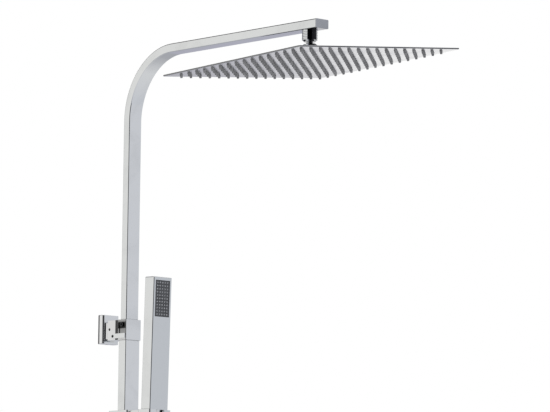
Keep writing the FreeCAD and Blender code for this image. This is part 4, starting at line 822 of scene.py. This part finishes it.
# the room in reflections, from straight below to straight above
ROOM = ((0.0, (0.80, 0.81, 0.84)), (0.22, (0.74, 0.75, 0.79)), (0.36, (0.45, 0.46, 0.52)),
        (0.43, (0.46, 0.46, 0.54)), (0.455, (0.48, 0.48, 0.54)), (0.475, (0.54, 0.54, 0.56)),
        (0.495, (0.60, 0.60, 0.61)), (0.53, (0.80, 0.80, 0.79)), (0.58, (0.84, 0.84, 0.83)),
        (0.72, (0.70, 0.70, 0.70)), (0.80, (0.35, 0.35, 0.36)), (0.88, (0.80, 0.80, 0.80)),
        (1.0, (0.92, 0.92, 0.92)))

# its screens: direction, cosines where the edge starts and ends, colour
SCREENS = (((0.66, -0.74, 0.12), 0.55, 0.92, (0.69, 0.705, 0.74)),
           ((-0.66, 0.74, 0.12), 0.70, 0.97, (0.845, 0.845, 0.825)),
           ((0.76, 0.65, -0.03), 0.9902, 0.9963, (0.97, 0.97, 0.96)),
           ((0.0, -1.0, 0.0), 0.90, 0.97, (0.52, 0.53, 0.55)),
           ((-0.66, -0.74, 0.05), 0.755, 0.88, (0.02, 0.02, 0.025)),
           ((-0.11, 0.74, -0.66), 0.80, 0.91, (0.06, 0.06, 0.07)))

# its dark beam, in three steps that hang lower toward its middle. Each step is (height where its lower edge
# starts, height where it is whole, part of the way to the back where its sides start, where they are whole)
BEAM = ((0.28, 0.40, 0.40, 0.60), (0.13, 0.22, 0.84, 0.92), (0.02, 0.08, 0.955, 0.985))
BEAM_TOP = (0.80, 0.70)  # heights where its upper edge starts and where it is whole

# what the floor shows in reflections, from its front to its back
MIRRORED_FLOOR = ((0.0, (0.67, 0.69, 0.73)), (0.20, (0.68, 0.70, 0.74)), (0.47, (0.75, 0.76, 0.77)),
                  (0.55, (0.62, 0.63, 0.65)), (0.68, (0.45, 0.46, 0.49)), (1.0, (0.42, 0.43, 0.47)))


def room_colour(tree):
    """The soft studio that metal mirrors: a pale tent that is open, and dark, on the camera's side, with a
    dim strip above and below, its screens, and a dark beam across the back."""
    direction = tree.nodes.new("ShaderNodeTexCoord").outputs["Generated"]
    parts = node(tree, "ShaderNodeSeparateXYZ", {"Vector": direction}).outputs
    colour = colour_ramp(tree, parts["Z"], -1.0, 1.0, ROOM)
    for toward, outer, inner, tone in SCREENS:
        mask = ramp(tree, dot_product(tree, direction, Vector(toward).normalized()), outer, inner)
        colour = blended(tree, mask, colour, tone)
    beam = None
    below_top = ramp(tree, parts["Z"], *BEAM_TOP)
    for edge, full, start, whole in BEAM:
        tall = math_result(tree, "MULTIPLY", ramp(tree, parts["Z"], edge, full), below_top)
        step = math_result(tree, "MULTIPLY", tall, ramp(tree, parts["Y"], start, whole))
        beam = step if beam is None else math_result(tree, "MAXIMUM", beam, step)
    return blended(tree, beam, colour, (0.05, 0.05, 0.055))


def studio_world():
    """White where the camera looks, the studio in reflections, and a soft even light on the rest."""
    world = bpy.data.worlds.new("Soft studio")
    bpy.context.scene.world = world
    world.use_nodes = True
    tree = world.node_tree
    tree.nodes.clear()
    path = tree.nodes.new("ShaderNodeLightPath").outputs
    mirrored, seen, lit = (
        node(tree, "ShaderNodeBackground", {"Color": colour, "Strength": strength}).outputs[0]
        for colour, strength in ((room_colour(tree), 1.0), ((1, 1, 1, 1), 1.0), ((0.97, 0.98, 1, 1), 0.62)))
    glossy = node(tree, "ShaderNodeMixShader", {0: path["Is Glossy Ray"], 1: lit, 2: mirrored}).outputs[0]
    final = node(tree, "ShaderNodeMixShader", {0: path["Is Camera Ray"], 1: glossy, 2: seen}).outputs[0]
    tree.links.new(final, tree.nodes.new("ShaderNodeOutputWorld").inputs["Surface"])


def floor_material():
    """Plain pale floor: the camera sees it nearly white with its shadow, reflections see an even pale sheet
    that dims toward the back, and from below it is clear."""
    material, tree, shader, place = start_material("Pale floor")
    shader.inputs["Roughness"].default_value = 0.9
    shader.inputs["Specular IOR Level"].default_value = 0.0
    path = tree.nodes.new("ShaderNodeLightPath").outputs
    mirrored = path["Is Glossy Ray"]
    grain = node(tree, "ShaderNodeTexNoise", {"Vector": place, "Scale": 40.0, "Detail": 3.0})
    shade = blended(tree, grain.outputs["Fac"], (0.90, 0.90, 0.90), (0.93, 0.93, 0.93))
    tree.links.new(blended(tree, mirrored, shade, (0, 0, 0)), shader.inputs["Base Color"])
    along = node(tree, "ShaderNodeSeparateXYZ", {"Vector": place}).outputs["Y"]
    sheet = colour_ramp(tree, along, -FLOOR_REACH, FLOOR_REACH, MIRRORED_FLOOR)
    tree.links.new(blended(tree, mirrored, (1, 1, 1), sheet), shader.inputs["Emission Color"])
    glow = math_result(tree, "MULTIPLY_ADD", path["Is Camera Ray"], 0.30, mirrored)
    tree.links.new(glow, shader.inputs["Emission Strength"])
    below = tree.nodes.new("ShaderNodeNewGeometry").outputs["Backfacing"]
    clear = tree.nodes.new("ShaderNodeBsdfTransparent").outputs[0]
    both = node(tree, "ShaderNodeMixShader", {0: below, 1: shader.outputs[0], 2: clear})
    tree.links.new(both.outputs[0], tree.nodes["Material Output"].inputs["Surface"])
    return material


class SHOWER_OT_stage(bpy.types.Operator):
    """Set the floor, the lamps, the white surroundings and the photograph's camera"""

    bl_idname = "shower.stage"
    bl_label = "Stage"

    def execute(self, context):
        scene = context.scene
        scene.view_settings.view_transform = "Standard"
        studio_world()
        mesh = bpy.data.meshes.new("floor")
        sides = ((-1, -1), (1, -1), (1, 1), (-1, 1))
        corners = [(x * FLOOR_REACH, y * FLOOR_REACH, FLOOR_LEVEL) for x, y in sides]
        mesh.from_pydata(corners, [], [(0, 1, 2, 3)])
        mesh.materials.append(floor_material())
        floor = bpy.data.objects.new("floor", mesh)
        scene.collection.objects.link(floor)
        floor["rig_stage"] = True
        target = Vector((0, -0.25, 0.6))  # the lamps aim at the middle of the column
        for name, place, width, power in (("Key lamp", (-2.2, -2.4, 2.6), 1.6, 42.0),
                                          ("Fill lamp", (2.6, -1.8, 1.4), 2.0, 22.0)):
            lamp = bpy.data.lights.new(name, "AREA")
            lamp.shape, lamp.size, lamp.energy = "SQUARE", width, power
            light = bpy.data.objects.new(name, lamp)
            light.location = place
            light.rotation_euler = (target - Vector(place)).to_track_quat("-Z", "Y").to_euler()
            light.visible_glossy = False
            scene.collection.objects.link(light)
        camera = bpy.data.cameras.new("Camera")
        camera.sensor_width = SENSOR_WIDTH
        camera.lens = SENSOR_WIDTH * FOCAL_PIXELS / PHOTO_WIDTH
        viewer = bpy.data.objects.new("Camera", camera)
        viewer.matrix_world = camera_frame()
        scene.collection.objects.link(viewer)
        scene.camera = viewer
        return {"FINISHED"}


class SHOWER_PT_panel(bpy.types.Panel):
    """The sidebar panel: sizes, colours and one button for each group of pieces"""

    bl_idname = "SHOWER_PT_panel"
    bl_label = "Shower column"
    bl_space_type = "VIEW_3D"
    bl_region_type = "UI"
    bl_category = "Shower"

    def draw(self, context):
        layout = self.layout
        for settings in (context.scene.column_sizes, context.scene.column_colours):
            for name in settings.__annotations__:
                layout.prop(settings, name)
        for step in STEPS:
            layout.operator(step.bl_idname)


STEPS = (SHOWER_OT_riser, SHOWER_OT_head, SHOWER_OT_spray_plate, SHOWER_OT_nozzles, SHOWER_OT_threads,
         SHOWER_OT_spray_panel, SHOWER_OT_finishes, SHOWER_OT_stage)
CLASSES = (ColumnSizes, ColumnColours, *STEPS, SHOWER_PT_panel)


def register():
    for kind in CLASSES:
        bpy.utils.register_class(kind)
    bpy.types.Scene.column_sizes = bpy.props.PointerProperty(type=ColumnSizes)
    bpy.types.Scene.column_colours = bpy.props.PointerProperty(type=ColumnColours)


def unregister():
    del bpy.types.Scene.column_sizes
    del bpy.types.Scene.column_colours
    for kind in reversed(CLASSES):
        bpy.utils.unregister_class(kind)


def main():
    """Register the classes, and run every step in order."""
    register()
    for step in STEPS:
        group, name = step.bl_idname.split(".")
        getattr(getattr(bpy.ops, group), name)()


if __name__ == "__main__":
    main()
